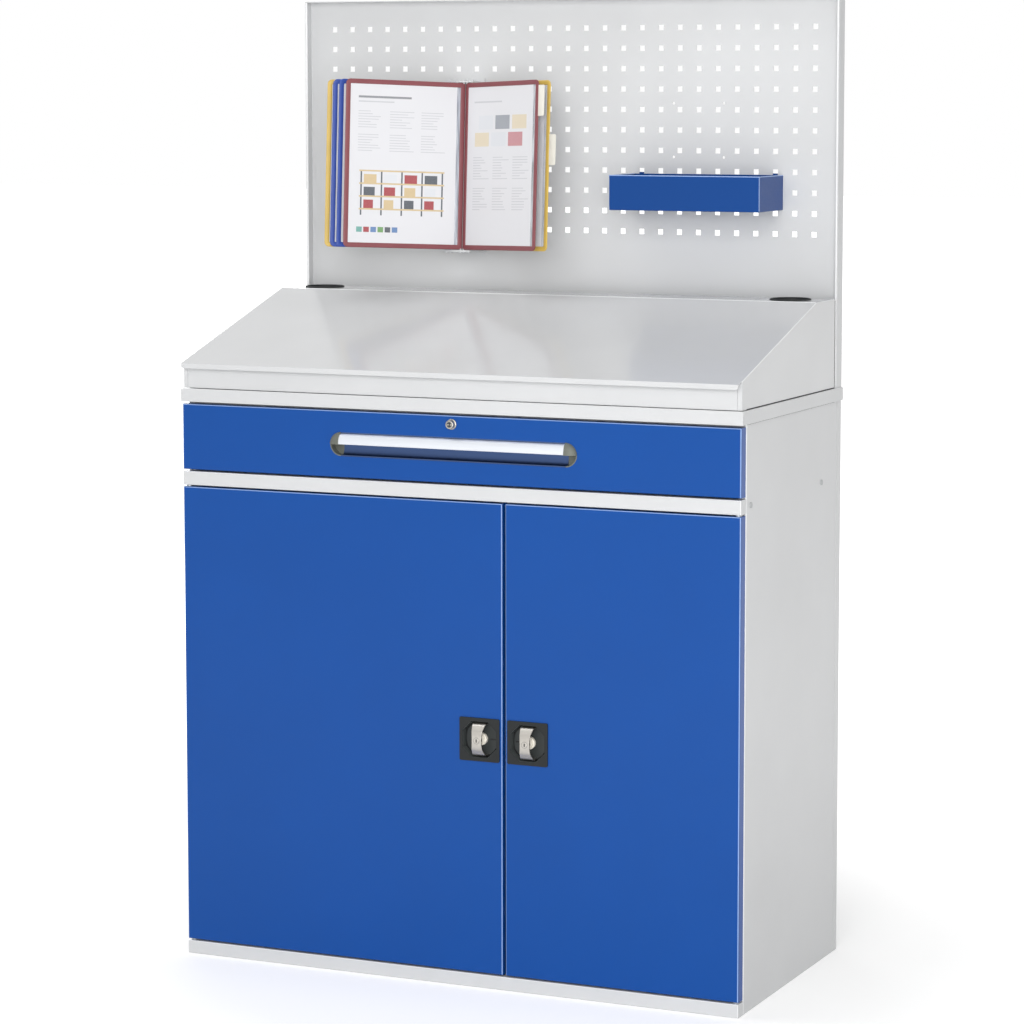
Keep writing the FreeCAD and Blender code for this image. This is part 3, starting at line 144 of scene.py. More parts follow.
@dataclass(frozen=True)
class Finish:
    """A surface finish. Each kind of finish draws its own shader."""

    name: str
    colour: str

    def material(self) -> bpy.types.Material:
        """Find this finish's material, or make it.

        Returns:
            The material, which all pieces of this finish share.
        """
        made = bpy.data.materials.get(self.name)
        if made is None:
            made = bpy.data.materials.new(self.name)
            made.use_nodes = True
            made.node_tree.nodes.clear()
            shader = self.shader(made.node_tree)
            add_node(made.node_tree, "ShaderNodeOutputMaterial", {"Surface": shader.outputs["BSDF"]})
        return made

    def shader(self, tree: bpy.types.NodeTree) -> bpy.types.Node:
        """Draw the finish's shader; each kind of finish has its own."""
        raise NotImplementedError

    def pattern(self, tree: bpy.types.NodeTree, size: tuple[float, float, float],
                detail: float = 2.0) -> bpy.types.NodeSocket:
        """Grains of a real size on the piece's own coordinates, as smooth noise.

        Args:
            tree: the material's tree.
            size: size of the grains along X, Y and Z, in millimetres.
            detail: number of finer layers.

        Returns:
            The grains' strength, from 0 to 1.
        """
        place = add_node(tree, "ShaderNodeTexCoord").outputs["Object"]
        scale = tuple(1.0 / (MM * length) for length in size)
        stretched = add_node(tree, "ShaderNodeMapping", {"Vector": place, "Scale": scale})
        cells = {"Vector": stretched.outputs["Vector"], "Scale": 1.0, "Detail": detail}
        return add_node(tree, "ShaderNodeTexNoise", cells).outputs["Fac"]

    def spread(self, tree: bpy.types.NodeTree, fac: bpy.types.NodeSocket, low: float,
               high: float) -> bpy.types.NodeSocket:
        """Stretch a noise, which stays near its middle, to a range of values.

        Args:
            tree: the material's tree.
            fac: the noise.
            low: value at the noise's common low.
            high: value at its common high.

        Returns:
            The stretched value.
        """
        ends = {"Value": fac, "From Min": NOISE_RANGE[0], "From Max": NOISE_RANGE[1], "To Min": low, "To Max": high}
        return add_node(tree, "ShaderNodeMapRange", ends).outputs["Result"]

    def tinted(self, tree: bpy.types.NodeTree, fac: bpy.types.NodeSocket, depth: float) -> bpy.types.NodeSocket:
        """Colour that strays a little to both sides of the finish's own.

        Args:
            tree: the material's tree.
            fac: where it strays.
            depth: share of the brightness that it strays by.

        Returns:
            The colour.
        """
        red, green, blue, _ = linear(self.colour)
        ends = [tuple(min(1.0, part * (1 + sign * depth)) for part in (red, green, blue)) + (1.0,)
                for sign in (-1, 1)]
        share = self.spread(tree, fac, 0.0, 1.0)
        mix = add_node(tree, "ShaderNodeMix", {0: share, 6: ends[0], 7: ends[1]}, data_type="RGBA")
        return mix.outputs[2]


@dataclass(frozen=True)
class PowderCoat(Finish):
    """Baked polyester powder on sheet steel: satin, with the faint orange peel of melted powder.

    Bent edges that face up or sideways are painted paler than the flats, as painted highlights.
    """

    bend_highlight_colour: str
    roughness: float = 0.32
    stray: float = 0.03
    ior: float = 1.4
    peel: float = 3.0
    depth: float = 0.02
    cloud: float = 160.0
    cloud_tint: float = 0.02
    bend_range: tuple[float, float] = (0.8, 0.94)
    down_range: tuple[float, float] = (-0.4, -0.1)

    def shader(self, tree: bpy.types.NodeTree) -> bpy.types.Node:
        """Draw a satin coat with orange peel and a faint cloudiness.

        Args:
            tree: the material's tree.

        Returns:
            The shader.
        """
        # Real orange peel is about 1 mm across. It is drawn three times as coarse, so that it shows.
        peel = self.pattern(tree, (self.peel,) * 3, detail=1.0)
        clouds = self.pattern(tree, (self.cloud,) * 3)
        # Painted highlight: the pale colour is mixed in on the bent edges.
        colours = {0: self.bend_highlights(tree), 6: self.tinted(tree, clouds, self.cloud_tint), 7: linear(self.bend_highlight_colour)}
        relief = add_node(tree, "ShaderNodeBump", {"Height": peel, "Distance": self.depth * MM})
        return add_node(tree, "ShaderNodeBsdfPrincipled", {
            "Base Color": add_node(tree, "ShaderNodeMix", colours, data_type="RGBA").outputs[2],
            "Roughness": self.spread(tree, peel, self.roughness - self.stray, self.roughness + self.stray),
            "IOR": self.ior,
            "Normal": relief.outputs["Normal"],
        })

    def bend_highlights(self, tree: bpy.types.NodeTree) -> bpy.types.NodeSocket:
        """Mask of the painted highlights on bent edges, where no part of the piece's own normal is near 1. Bent edges
        that face down get none.

        Args:
            tree: the material's tree.

        Returns:
            1 on a bend and 0 on the flats.
        """
        normal = add_node(tree, "ShaderNodeTexCoord").outputs["Normal"]
        sizes = add_node(tree, "ShaderNodeVectorMath", {0: normal}, operation="ABSOLUTE").outputs["Vector"]
        parts = add_node(tree, "ShaderNodeSeparateXYZ", {0: sizes}).outputs
        level = add_node(tree, "ShaderNodeMath", {0: parts["X"], 1: parts["Y"]}, operation="MAXIMUM").outputs[0]
        most = add_node(tree, "ShaderNodeMath", {0: level, 1: parts["Z"]}, operation="MAXIMUM").outputs[0]
        bent = add_node(tree, "ShaderNodeMapRange", {
            "Value": most, "From Min": self.bend_range[0], "From Max": self.bend_range[1], "To Min": 1.0,
            "To Max": 0.0}).outputs["Result"]
        rise = add_node(tree, "ShaderNodeSeparateXYZ", {0: normal}).outputs["Z"]
        upward = add_node(tree, "ShaderNodeMapRange", {
            "Value": rise, "From Min": self.down_range[0], "From Max": self.down_range[1]}).outputs["Result"]
        return add_node(tree, "ShaderNodeMath", {0: bent, 1: upward}, operation="MULTIPLY").outputs[0]


@dataclass(frozen=True)
class DrawnMetal(Finish):
    """Metal drawn or brushed one way: a bright face with fine lines that draw its highlights out."""

    roughness: float = 0.3
    stray: float = 0.05
    along: tuple[float, float, float] = (180.0, 0.8, 0.8)
    depth: float = 0.004
    line_tint: float = 0.04

    def shader(self, tree: bpy.types.NodeTree) -> bpy.types.Node:
        """Draw a metal with lines along one axis.

        Args:
            tree: the material's tree.

        Returns:
            The shader.
        """
        # Drawing lines are a tenth of a millimetre apart. They are drawn eight times as coarse, so that they show.
        lines = self.pattern(tree, self.along)
        relief = add_node(tree, "ShaderNodeBump", {"Height": lines, "Distance": self.depth * MM})
        return add_node(tree, "ShaderNodeBsdfPrincipled", {
            "Base Color": self.tinted(tree, lines, self.line_tint),
            "Metallic": 1.0,
            "Roughness": self.spread(tree, lines, self.roughness - self.stray, self.roughness + self.stray),
            "Normal": relief.outputs["Normal"],
        })


@dataclass(frozen=True)
class PlatedMetal(Finish):
    """Electroplated steel or brass: cool and bright, with the patches that the bath leaves."""

    roughness: float = 0.32
    smoother: float = 0.06
    rougher: float = 0.08
    patch: float = 9.0
    patch_tint: float = 0.05

    def shader(self, tree: bpy.types.NodeTree) -> bpy.types.Node:
        """Draw a plated metal with cloudy patches.

        Args:
            tree: the material's tree.

        Returns:
            The shader.
        """
        patches = self.pattern(tree, (self.patch,) * 3, detail=3.0)
        return add_node(tree, "ShaderNodeBsdfPrincipled", {
            "Base Color": self.tinted(tree, patches, self.patch_tint),
            "Metallic": 1.0,
            "Roughness": self.spread(tree, patches, self.roughness - self.smoother, self.roughness + self.rougher),
        })


@dataclass(frozen=True)
class MouldedPlastic(Finish):
    """Injection-moulded plastic: even colour under the fine spark-eroded grain of its mould."""

    roughness: float = 0.45
    stray: float = 0.05
    ior: float = 1.45
    grain: float = 0.9
    depth: float = 0.02
    flow: float = 40.0
    flow_tint: float = 0.04

    def shader(self, tree: bpy.types.NodeTree) -> bpy.types.Node:
        """Draw a plastic with a mould's grain.

        Args:
            tree: the material's tree.

        Returns:
            The shader.
        """
        # Spark-eroded grain is about 0.1 mm. It is drawn nine times as coarse, so that it shows.
        grain = self.pattern(tree, (self.grain,) * 3)
        flow = self.pattern(tree, (self.flow,) * 3, detail=1.0)
        relief = add_node(tree, "ShaderNodeBump", {"Height": grain, "Distance": self.depth * MM})
        return add_node(tree, "ShaderNodeBsdfPrincipled", {
            "Base Color": self.tinted(tree, flow, self.flow_tint),
            "Roughness": self.spread(tree, grain, self.roughness - self.stray, self.roughness + self.stray),
            "IOR": self.ior,
            "Normal": relief.outputs["Normal"],
        })


@dataclass(frozen=True)
class PrintedSheet(Finish):
    """Offset print on white paper behind a clear film: matt ink under one even gloss."""

    fibre: float = 1.5
    fibre_veil: float = 0.08
    roughness: float = 0.7
    ior: float = 1.4
    gloss: float = 0.4
    gloss_roughness: float = 0.15

    def shader(self, tree: bpy.types.NodeTree) -> bpy.types.Node:
        """Draw paper in the piece's own inks, with the film's gloss as a coat.

        Args:
            tree: the material's tree.

        Returns:
            The shader.
        """
        ink = add_node(tree, "ShaderNodeAttribute", attribute_name="ink").outputs["Color"]
        # Paper fibres are a tenth of a millimetre wide. Their clouds are drawn coarser, so that they show.
        fibres = self.pattern(tree, (self.fibre,) * 3, detail=3.0)
        veil = self.spread(tree, fibres, 0.0, self.fibre_veil)
        mix = add_node(tree, "ShaderNodeMix", {0: veil, 6: ink, 7: linear(self.colour)}, data_type="RGBA")
        return add_node(tree, "ShaderNodeBsdfPrincipled", {
            "Base Color": mix.outputs[2],
            "Roughness": self.roughness,
            "IOR": self.ior,
            "Coat Weight": self.gloss,
            "Coat Roughness": self.gloss_roughness,
        })


@dataclass(frozen=True)
class ClearFilm(Finish):
    """Calendered clear PVC: nearly unseen, milky at its welds, with light and dark streaks in its colour as a painted
    sheen.
    """

    alpha: float = 0.45
    roughness: float = 0.12
    ior: float = 1.54
    wave: tuple[float, float, float] = (5.0, 5.0, 60.0)
    wave_depth: float = 0.6
    sheen_streak_tint: float = 0.35

    def shader(self, tree: bpy.types.NodeTree) -> bpy.types.Node:
        """Draw a film that is mostly see-through.

        Args:
            tree: the material's tree.

        Returns:
            The shader.
        """
        waves = self.pattern(tree, self.wave, detail=1.0)
        relief = add_node(tree, "ShaderNodeBump", {"Height": waves, "Distance": self.wave_depth * MM})
        return add_node(tree, "ShaderNodeBsdfPrincipled", {
            # The waves' tint paints light and dark streaks of sheen into the film's colour.
            "Base Color": self.tinted(tree, waves, self.sheen_streak_tint),
            "Roughness": self.roughness,
            "IOR": self.ior,
            "Alpha": self.alpha,
            "Normal": relief.outputs["Normal"],
        })


# Light grey polyester powder, sprayed and baked on sheet steel: a soft satin sheen, and pale lines painted on the
# bent edges as painted highlights.
GREY_COAT = PowderCoat("light_grey_powder_coat", "CFD0D1", "EEEFF0")
# The same powder on the desk, wiped smooth by sleeves and paper: it mirrors the panel and the pages softly.
DESK_COAT = PowderCoat("smooth_light_grey_powder_coat", "CFD0D1", "EEEFF0", roughness=0.17, ior=1.45, depth=0.008)
# The same powder, painted paler: bars on the tightest bent edges that paint their highlights.
HIGHLIGHT_GREY_COAT = PowderCoat("light_grey_painted_highlight_coat", "E8E9EA", "EEEFF0")
# Gentian blue polyester powder: deep on the flats, with pale blue painted on the bent edges as painted highlights.
BLUE_COAT = PowderCoat("gentian_blue_powder_coat", "034795", "9AB6E4", ior=1.33)
# The same blue, painted darker on the small tray as painted shade, with pale painted highlights on its bent edges.
SHADED_TRAY_COAT = PowderCoat("shaded_gentian_blue_powder_coat", "003E83", "A6BCE2", ior=1.33)
# The same blue, painted pale on bars along the tray's rim: a painted highlight line.
HIGHLIGHT_BLUE_COAT = PowderCoat("rubbed_gentian_blue_powder_coat", "8FAADA", "A6BCE2", ior=1.33)
# Drawn and clear-anodised aluminium: a nearly white band with fine lines along the grip.
ALUMINIUM = DrawnMetal("clear_anodised_aluminium", "CCCFD4", roughness=0.6)
# The same profile inside the grip, painted dark slate blue: painted shade under the hood and a painted reflection of
# the blue around it.
SHADED_CHANNEL_ALUMINIUM = DrawnMetal("shaded_channel_aluminium", "45587F", roughness=0.42, along=(180.0, 1.6, 2.2))
# Die-cast zinc, brushed along its length: a warm satin grey with bright shoulders.
LEVER_METAL = DrawnMetal("satin_brushed_zinc_casting", "B4B0A9", roughness=0.38, along=(0.7, 0.7, 30.0))
# Zinc-plated and passivated steel: cool grey with cloudy patches.
ZINC = PlatedMetal("passivated_zinc_plating", "A9ADB1", roughness=0.42)
# Nickel on brass: a bright ring with a faint warm tint.
NICKEL = PlatedMetal("nickel_plated_brass", "A5A29B", roughness=0.28, patch=5.0)
# Nickel on brass, painted dark on the lock's face: the dark face that sets off the ring round it, and with the bright
# ribs a painted reflection, dark above and below a bright band.
DARK_REFLECTION_NICKEL = PlatedMetal("black_nickel_plated_brass", "54565A", roughness=0.3, patch=4.0)
# Black polyamide with glass fibre: a dull charcoal with soft edges.
BLACK_PLASTIC = MouldedPlastic("black_polyamide", "191C1D", roughness=0.55, ior=1.38)
# The same polyamide, painted a shade lighter on the turning base in the dish: painted light against the dish's shade.
LIGHTENED_POLYAMIDE = MouldedPlastic("lightened_black_polyamide_base", "2C3030", roughness=0.5)
# The same polyamide, painted a lighter charcoal on the dish's walls: painted light that keeps the dish open against
# its own shade.
LIGHTENED_LINING = MouldedPlastic("lightened_black_polyamide_lining", "4A4F4F", roughness=0.5)
# The same polyamide, nearly black: the mark on the base, and the key slot, a dark plate of painted shade where a
# keyway would be.
DARK_MARK_AND_SLOT_SHADE = MouldedPlastic("engraved_black_polyamide", "121314", roughness=0.6)
# The same casting in the shade of a narrow gap.
GAP_METAL = DrawnMetal("shaded_zinc_casting", "8F8C86", roughness=0.5, along=(0.7, 0.7, 30.0))
# Light grey polyethylene: the snapped-on caps of the screws, a shade darker than the coat.
SCREW_CAPS = MouldedPlastic("light_grey_polyethylene", "B0B2B3", roughness=0.5)
# Closed-cell foam rubber, dark: dull lines in the joints that paint the shade of their gaps.
JOINT_SHADE_FOAM = MouldedPlastic("dark_foam_painted_joint_shade", "2A2B2C", roughness=0.8, ior=1.4, grain=1.5, depth=0.2)
# Grey ABS: the dull end caps of the grip.
GREY_PLASTIC = MouldedPlastic("grey_abs", "64675F", roughness=0.5)
# Ivory acetal: the waxy, slightly yellow hub.
IVORY_PLASTIC = MouldedPlastic("ivory_acetal", "F3EDDF", roughness=0.38)
# Cream card in a plastic holder: matt and a little warm.
TAB_PLASTIC = MouldedPlastic("cream_index_card", "E6E3D8", roughness=0.5)
# Light grey acetal: the small pivots of the pages.
PIVOT_PLASTIC = MouldedPlastic("light_grey_acetal", "C9CBCD", roughness=0.4)
# Coloured polypropylene: the even, slightly waxy frames of the pages.
PAGE_PLASTICS = {
    PageColour.RED: MouldedPlastic("red_polypropylene", "804449", roughness=0.42),
    PageColour.BLUE: MouldedPlastic("blue_polypropylene", "22449B", roughness=0.42),
    PageColour.YELLOW: MouldedPlastic("yellow_polypropylene", "CFAF55", roughness=0.42),
}
# Offset print on white paper under a clear film: pale, matt inks below one even gloss.
SHEET_PRINT = PrintedSheet("printed_paper_under_film", "DBDBDE")
# Clear PVC film: a milky strip beside the sheet, streaked with painted sheen.
FILM = ClearFilm("clear_pvc_film", "D6DAE2")


@dataclass(frozen=True)
class NodeBox:
    """Lowest and highest corner of a CAD node at rest, in millimetres."""

    low: np.ndarray
    high: np.ndarray

    @classmethod
    def of(cls, node: str) -> "NodeBox":
        """Box of a node."""
        low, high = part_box(node)
        return cls(np.array(low) / MM, np.array(high) / MM)

    @property
    def middle(self) -> np.ndarray:
        """Middle of the box."""
        return (self.low + self.high) / 2


@dataclass(frozen=True)
class Patch:
    """A grid of points: rows run along a path or a profile, columns run around a loop.

    Neighbouring points join into four-sided faces. The first and last rows are closed by a face each, unless
    the rows close into a loop.
    """

    points: np.ndarray
    loop_rows: bool = False

    def faces(self, start: int) -> list[list[int]]:
        """Faces of the grid, by number arithmetic on whole rows.

        Args:
            start: number of the grid's first point in the mesh.

        Returns:
            Point numbers of each face.
        """
        rows, columns = self.points.shape[:2]
        numbers = np.arange(rows * columns).reshape(rows, columns) + start
        below = numbers if self.loop_rows else numbers[:-1]
        above = np.roll(numbers, -1, axis=0) if self.loop_rows else numbers[1:]
        quads = np.stack([below, np.roll(below, -1, 1), np.roll(above, -1, 1), above], axis=-1)
        caps = [] if self.loop_rows else [numbers[0][::-1].tolist(), numbers[-1].tolist()]
        return quads.reshape(-1, 4).tolist() + caps


def mesh_piece(name: str, patches: Sequence[Patch], finish: Finish, body: str,
               crease: float = 35.0) -> bpy.types.Object:
    """Make one piece of closed patches, smooth but for its creases, and put it on a body.

    Args:
        name: name of the piece.
        patches: its closed surfaces, in millimetres.
        finish: its finish.
        body: the body that it moves with.
        crease: angle in degrees above which an edge stays sharp.

    Returns:
        The piece.
    """
    counts = [patch.points.shape[0] * patch.points.shape[1] for patch in patches]
    starts = np.concatenate([[0], np.cumsum(counts)[:-1]]).astype(int)
    points = np.concatenate([patch.points.reshape(-1, 3) for patch in patches]) * MM
    faces = [face for patch, start in zip(patches, starts) for face in patch.faces(int(start))]
    mesh = bpy.data.meshes.new(name)
    mesh.from_pydata(points.tolist(), [], faces)
    shell = bmesh.new()
    shell.from_mesh(mesh)
    bmesh.ops.remove_doubles(shell, verts=shell.verts, dist=MERGE)
    bmesh.ops.recalc_face_normals(shell, faces=shell.faces)
    shell.to_mesh(mesh)
    shell.free()
    mesh.shade_smooth()
    mesh.set_sharp_from_angle(angle=math.radians(crease))
    return finished_piece(mesh, finish, body)


def finished_piece(mesh: bpy.types.Mesh, finish: Finish, body: str) -> bpy.types.Object:
    """Give a mesh its object, finish, body and slot.

    Args:
        mesh: the piece's mesh, in metres.
        finish: its finish.
        body: the body that it moves with.

    Returns:
        The piece.
    """
    mesh.materials.append(finish.material())
    piece = bpy.data.objects.new(mesh.name, mesh)
    bpy.context.scene.collection.objects.link(piece)
    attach(piece, body)
    log.info("piece %s on %s: %s", mesh.name, body, finish.name)
    return piece


def dress(finish: Finish, *nodes: str) -> None:
    """Give CAD nodes a finish.

    Args:
        finish: the finish.
        nodes: names of the nodes.
    """
    for node in nodes:
        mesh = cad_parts[node].data
        mesh.materials.clear()
        mesh.materials.append(finish.material())
        log.info("node %s: %s", node, finish.name)


def rounded_loop(low: tuple[float, float], high: tuple[float, float], radii: Sequence[float],
                 steps: int = 6) -> np.ndarray:
    """Rectangle with round corners: a quarter circle about each corner's centre, joined by straight runs.

    Args:
        low: lowest corner.
        high: highest corner.
        radii: radius of the lower left, lower right, upper right and upper left corner.
        steps: points in each quarter circle.

    Returns:
        Points around the loop, counterclockwise.
    """
    turn = np.linspace(0, math.pi / 2, steps)
    corners = [(low[0], low[1], 1, 1), (high[0], low[1], -1, 1), (high[0], high[1], -1, -1), (low[0], high[1], 1, -1)]
    runs = []
    for number, (a, b, to_a, to_b) in enumerate(corners):
        angle = turn + math.pi + number * math.pi / 2
        radius = radii[number]
        runs.append(np.stack([a + to_a * radius + radius * np.cos(angle),
                              b + to_b * radius + radius * np.sin(angle)], axis=-1))
    return np.concatenate(runs)


def circle(radius: float, steps: int = 48) -> np.ndarray:
    """Points around a circle of a radius, counterclockwise."""
    turn = np.arange(steps) * (2 * math.pi / steps)
    return radius * np.stack([np.cos(turn), np.sin(turn)], axis=-1)


def inset_loop(loop: np.ndarray, inset: float) -> np.ndarray:
    """Move each point of a counterclockwise loop inwards, square to the chord between its neighbours.

    Args:
        loop: points around the loop.
        inset: how far they move.

    Returns:
        The moved points.
    """
    chord = np.roll(loop, -1, 0) - np.roll(loop, 1, 0)
    inwards = np.stack([-chord[:, 1], chord[:, 0]], axis=-1)
    return loop + inset * inwards / np.maximum(np.linalg.norm(inwards, axis=1, keepdims=True), 1e-9)


def slab(loop: np.ndarray, low: float, high: float, edge: float, steps: int = 4) -> np.ndarray:
    """Plate with round edges: copies of its outline, inset and raised along a quarter circle at each face.

    Args:
        loop: outline of the plate, counterclockwise.
        low: level of its back face.
        high: level of its front face.
        edge: radius of its edges.
        steps: outlines in each quarter circle.

    Returns:
        Rows of outlines as points in the plate's own axes: along, up and out.
    """
    turn = np.linspace(0, math.pi / 2, steps)
    insets = edge * (1 - np.sin(turn))
    levels = low + edge * (1 - np.cos(turn))
    insets = np.concatenate([insets, insets[::-1]])
    levels = np.concatenate([levels, (low + high) - levels[::-1]])
    rows = [np.column_stack([inset_loop(loop, inset), np.full(len(loop), level)])
            for inset, level in zip(insets, levels)]
    return np.stack(rows)


def lathe(profile: Sequence[tuple[float, float]], steps: int = 48) -> np.ndarray:
    """Turned shape: each point of the profile goes round the axis as a circle.

    Args:
        profile: radius and height of each point.
        steps: points around each circle.

    Returns:
        Rows of circles as points in the shape's own axes, the third along the axis.
    """
    outline = np.asarray(profile, float)
    ring = circle(1.0, steps)
    flat = outline[:, None, :1] * ring[None]
    return np.concatenate([flat, np.broadcast_to(outline[:, None, 1:], flat.shape[:2] + (1,))], axis=-1)


def band(outer: np.ndarray, inner: np.ndarray, thickness: float, power: float, steps: int = 20) -> np.ndarray:
    """Ring between two loops, whose section is a rounded bar.

    Points run across from the outer to the inner loop by a cosine, and stand off the middle plane by half the
    thickness times a sine, each raised to 2/power, which squares the section's shoulders.

    Args:
        outer: outer loop.
        inner: inner loop, with as many points.
        thickness: thickness of the bar.
        power: 2 gives an ellipse, and more a squarer bar.
        steps: points around the section.

    Returns:
        Rows along the loop and columns around the section, as points in the ring's own axes.
    """
    turn = np.arange(steps) * (2 * math.pi / steps)
    across = np.sign(np.cos(turn)) * np.abs(np.cos(turn)) ** (2 / power)
    off = np.sign(np.sin(turn)) * np.abs(np.sin(turn)) ** (2 / power)
    share = (0.5 - 0.5 * across)[None, :, None]
    flat = outer[:, None, :] * (1 - share) + inner[:, None, :] * share
    lift = np.broadcast_to((0.5 * thickness * off)[None, :, None], flat.shape[:2] + (1,))
    return np.concatenate([flat, lift], axis=-1)


def smooth_path(corners: Sequence[tuple[float, float]], rounds: int = 4) -> np.ndarray:
    """Cut the corners of a line at a quarter and three quarters of each run, several times over.

    Args:
        corners: the line's corners.
        rounds: how often the corners are cut.

    Returns:
        The smooth line, with the same ends.
    """
    line = np.asarray(corners, float)
    for _ in range(rounds):
        first, second = line[:-1], line[1:]
        cut = np.stack([0.75 * first + 0.25 * second, 0.25 * first + 0.75 * second], axis=1).reshape(-1, 2)
        line = np.concatenate([line[:1], cut, line[-1:]])
    return line


def carried(path: np.ndarray, section: np.ndarray, widths: np.ndarray) -> np.ndarray:
    """Carry a section along a line in a plane, always square to the line.

    Each point is the line's point plus the section's height times the line's left-hand normal. Its place
    sideways is the section's own, times the width at that point.

    Args:
        path: points of the line, in the plane's two axes.
        section: points of the section: sideways, as a share of the half width, and outwards, square to the line.
        widths: half width at each point of the line.

    Returns:
        Rows along the line and columns around the section: sideways and then the plane's two axes.
    """
    run = np.gradient(path, axis=0)
    run /= np.linalg.norm(run, axis=1, keepdims=True)
    outwards = np.stack([-run[:, 1], run[:, 0]], axis=-1)
    plane = path[:, None, :] + outwards[:, None, :] * section[None, :, 1:]
    return np.concatenate([widths[:, None, None] * section[None, :, :1], plane], axis=-1)


def drawn_out(profile: np.ndarray, low: float, high: float, axis: int = 0) -> np.ndarray:
    """Draw a closed profile out along an axis: the same loop at both ends.

    Args:
        profile: points around the loop, in the other two axes.
        low: place of the first end.
        high: place of the other end.
        axis: 0 for X, 1 for Y and 2 for Z.

    Returns:
        Two rows of points, one at each end.
    """
    return np.stack([np.insert(profile, axis, end, axis=1) for end in (low, high)])


def facing_front(points: np.ndarray, x: float, y: float, z: float) -> np.ndarray:
    """Place a shape whose third axis points out of the front: along X, up Z and out along -Y."""
    return np.stack([x + points[..., 0], y - points[..., 2], z + points[..., 1]], axis=-1)


@dataclass
class Carcass:
    """The folded sheet-steel cupboard: sides, rails, floors, shelves, cover and what fastens them."""

    sheet_nodes: tuple[str, ...] = (
        "left_side", "right_side", "back_panel", "bottom_panel", "plinth_rail", "middle_rail", "top_rail",
        "divider_panel", "partition", "top_cover", "left_shelf", "right_shelf")
    plated_nodes: tuple[str, ...] = ("shelf_brackets", "hinge_pins")

    def build(self) -> None:
        """Dress the cupboard's own nodes."""
        dress(GREY_COAT, *self.sheet_nodes)
        dress(ZINC, *self.plated_nodes)
        dress(SCREW_CAPS, "fixing_screws")


@dataclass
class EdgeTrim:
    """Thin lines of the sheet work: dark foam bars in its joints, which paint the shade of their gaps, and pale bars
    on the outer curves of its tight bent edges, which paint their highlights.
    """

    strip: float = 1.0
    squeeze: float = 2.0
    gap_fill: float = 3.5
    overlap: float = 0.2
    tuck: float = 2.2
    proud: float = 0.3
    setback: float = 0.4
    end_gap: float = 2.0
    top_gap: float = 3.0
    bend_radius: float = 2.2
    bend_proud: float = 0.3
    shelf_bend: tuple[float, float] = (129.5, 1220.5)

    def build(self) -> None:
        """Make the dark joint bars of painted shade and the pale bars of painted highlight."""
        self.shadow_strips()
        self.bend_highlights()

    def shadow_strips(self) -> None:
        """Make square dark foam bars that paint the shade in the joints: drawn out along Y under the desk and the
        cover, and along Z behind the desk.
        """
        desk, cover, side = NodeBox.of("desk_shell"), NodeBox.of("top_cover"), NodeBox.of("right_side")
        run = (side.low[1] + self.end_gap, desk.high[1] - self.end_gap)
        bars = []
        for hand in Side:
            below_desk = np.sort(hand.value * (desk.high[0] + np.array([-self.tuck, self.proud])))
            below_cover = np.sort(hand.value * (side.high[0] + np.array([-self.overlap, self.strip])))
            behind_desk = np.sort(hand.value * (desk.high[0] - np.array([self.tuck, self.setback])))
            bars.append(drawn_out(self.square(below_desk, cover.high[2], self.squeeze), *run, axis=1))
            bars.append(drawn_out(self.square(below_cover, cover.low[2] - self.strip, self.strip), *run, axis=1))
            bars.append(drawn_out(self.square(behind_desk, desk.high[1], self.gap_fill),
                                  cover.high[2] + self.end_gap, desk.high[2] - self.top_gap, axis=2))
        mesh_piece("joint_shadow_strips", [Patch(bar) for bar in bars], JOINT_SHADE_FOAM, "cabinet")

    def square(self, across: np.ndarray, start: float, depth: float) -> np.ndarray:
        """Section of a strip: a rectangle with slightly rounded corners."""
        return rounded_loop((across[0], start), (across[1], start + depth), (self.overlap,) * 4, steps=3)

    def bend_highlights(self) -> None:
        """Make the painted highlights of the tight bent edges: pale round bars sunk into the front edges of the
        sides, the panel and the shelf.
        """
        ring = circle(self.bend_radius, steps=20)
        inset = self.bend_radius - self.bend_proud
        bars = []
        for node in ("right_side", "rear_panel"):
            box = NodeBox.of(node)
            for hand in Side:
                centre = np.array([hand.value * (box.high[0] - inset), box.low[1] + inset])
                bars.append(Patch(drawn_out(ring + centre, box.low[2] + self.end_gap, box.high[2] - self.end_gap,
                                            axis=2)))
        shell = NodeBox.of("desk_shell")
        centre = np.array(self.shelf_bend) - np.array([0.0, inset])
        bars.append(Patch(drawn_out(ring + centre, shell.low[0] + self.end_gap, shell.high[0] - self.end_gap)))
        mesh_piece("bend_highlight_bars", bars, HIGHLIGHT_GREY_COAT, "cabinet")


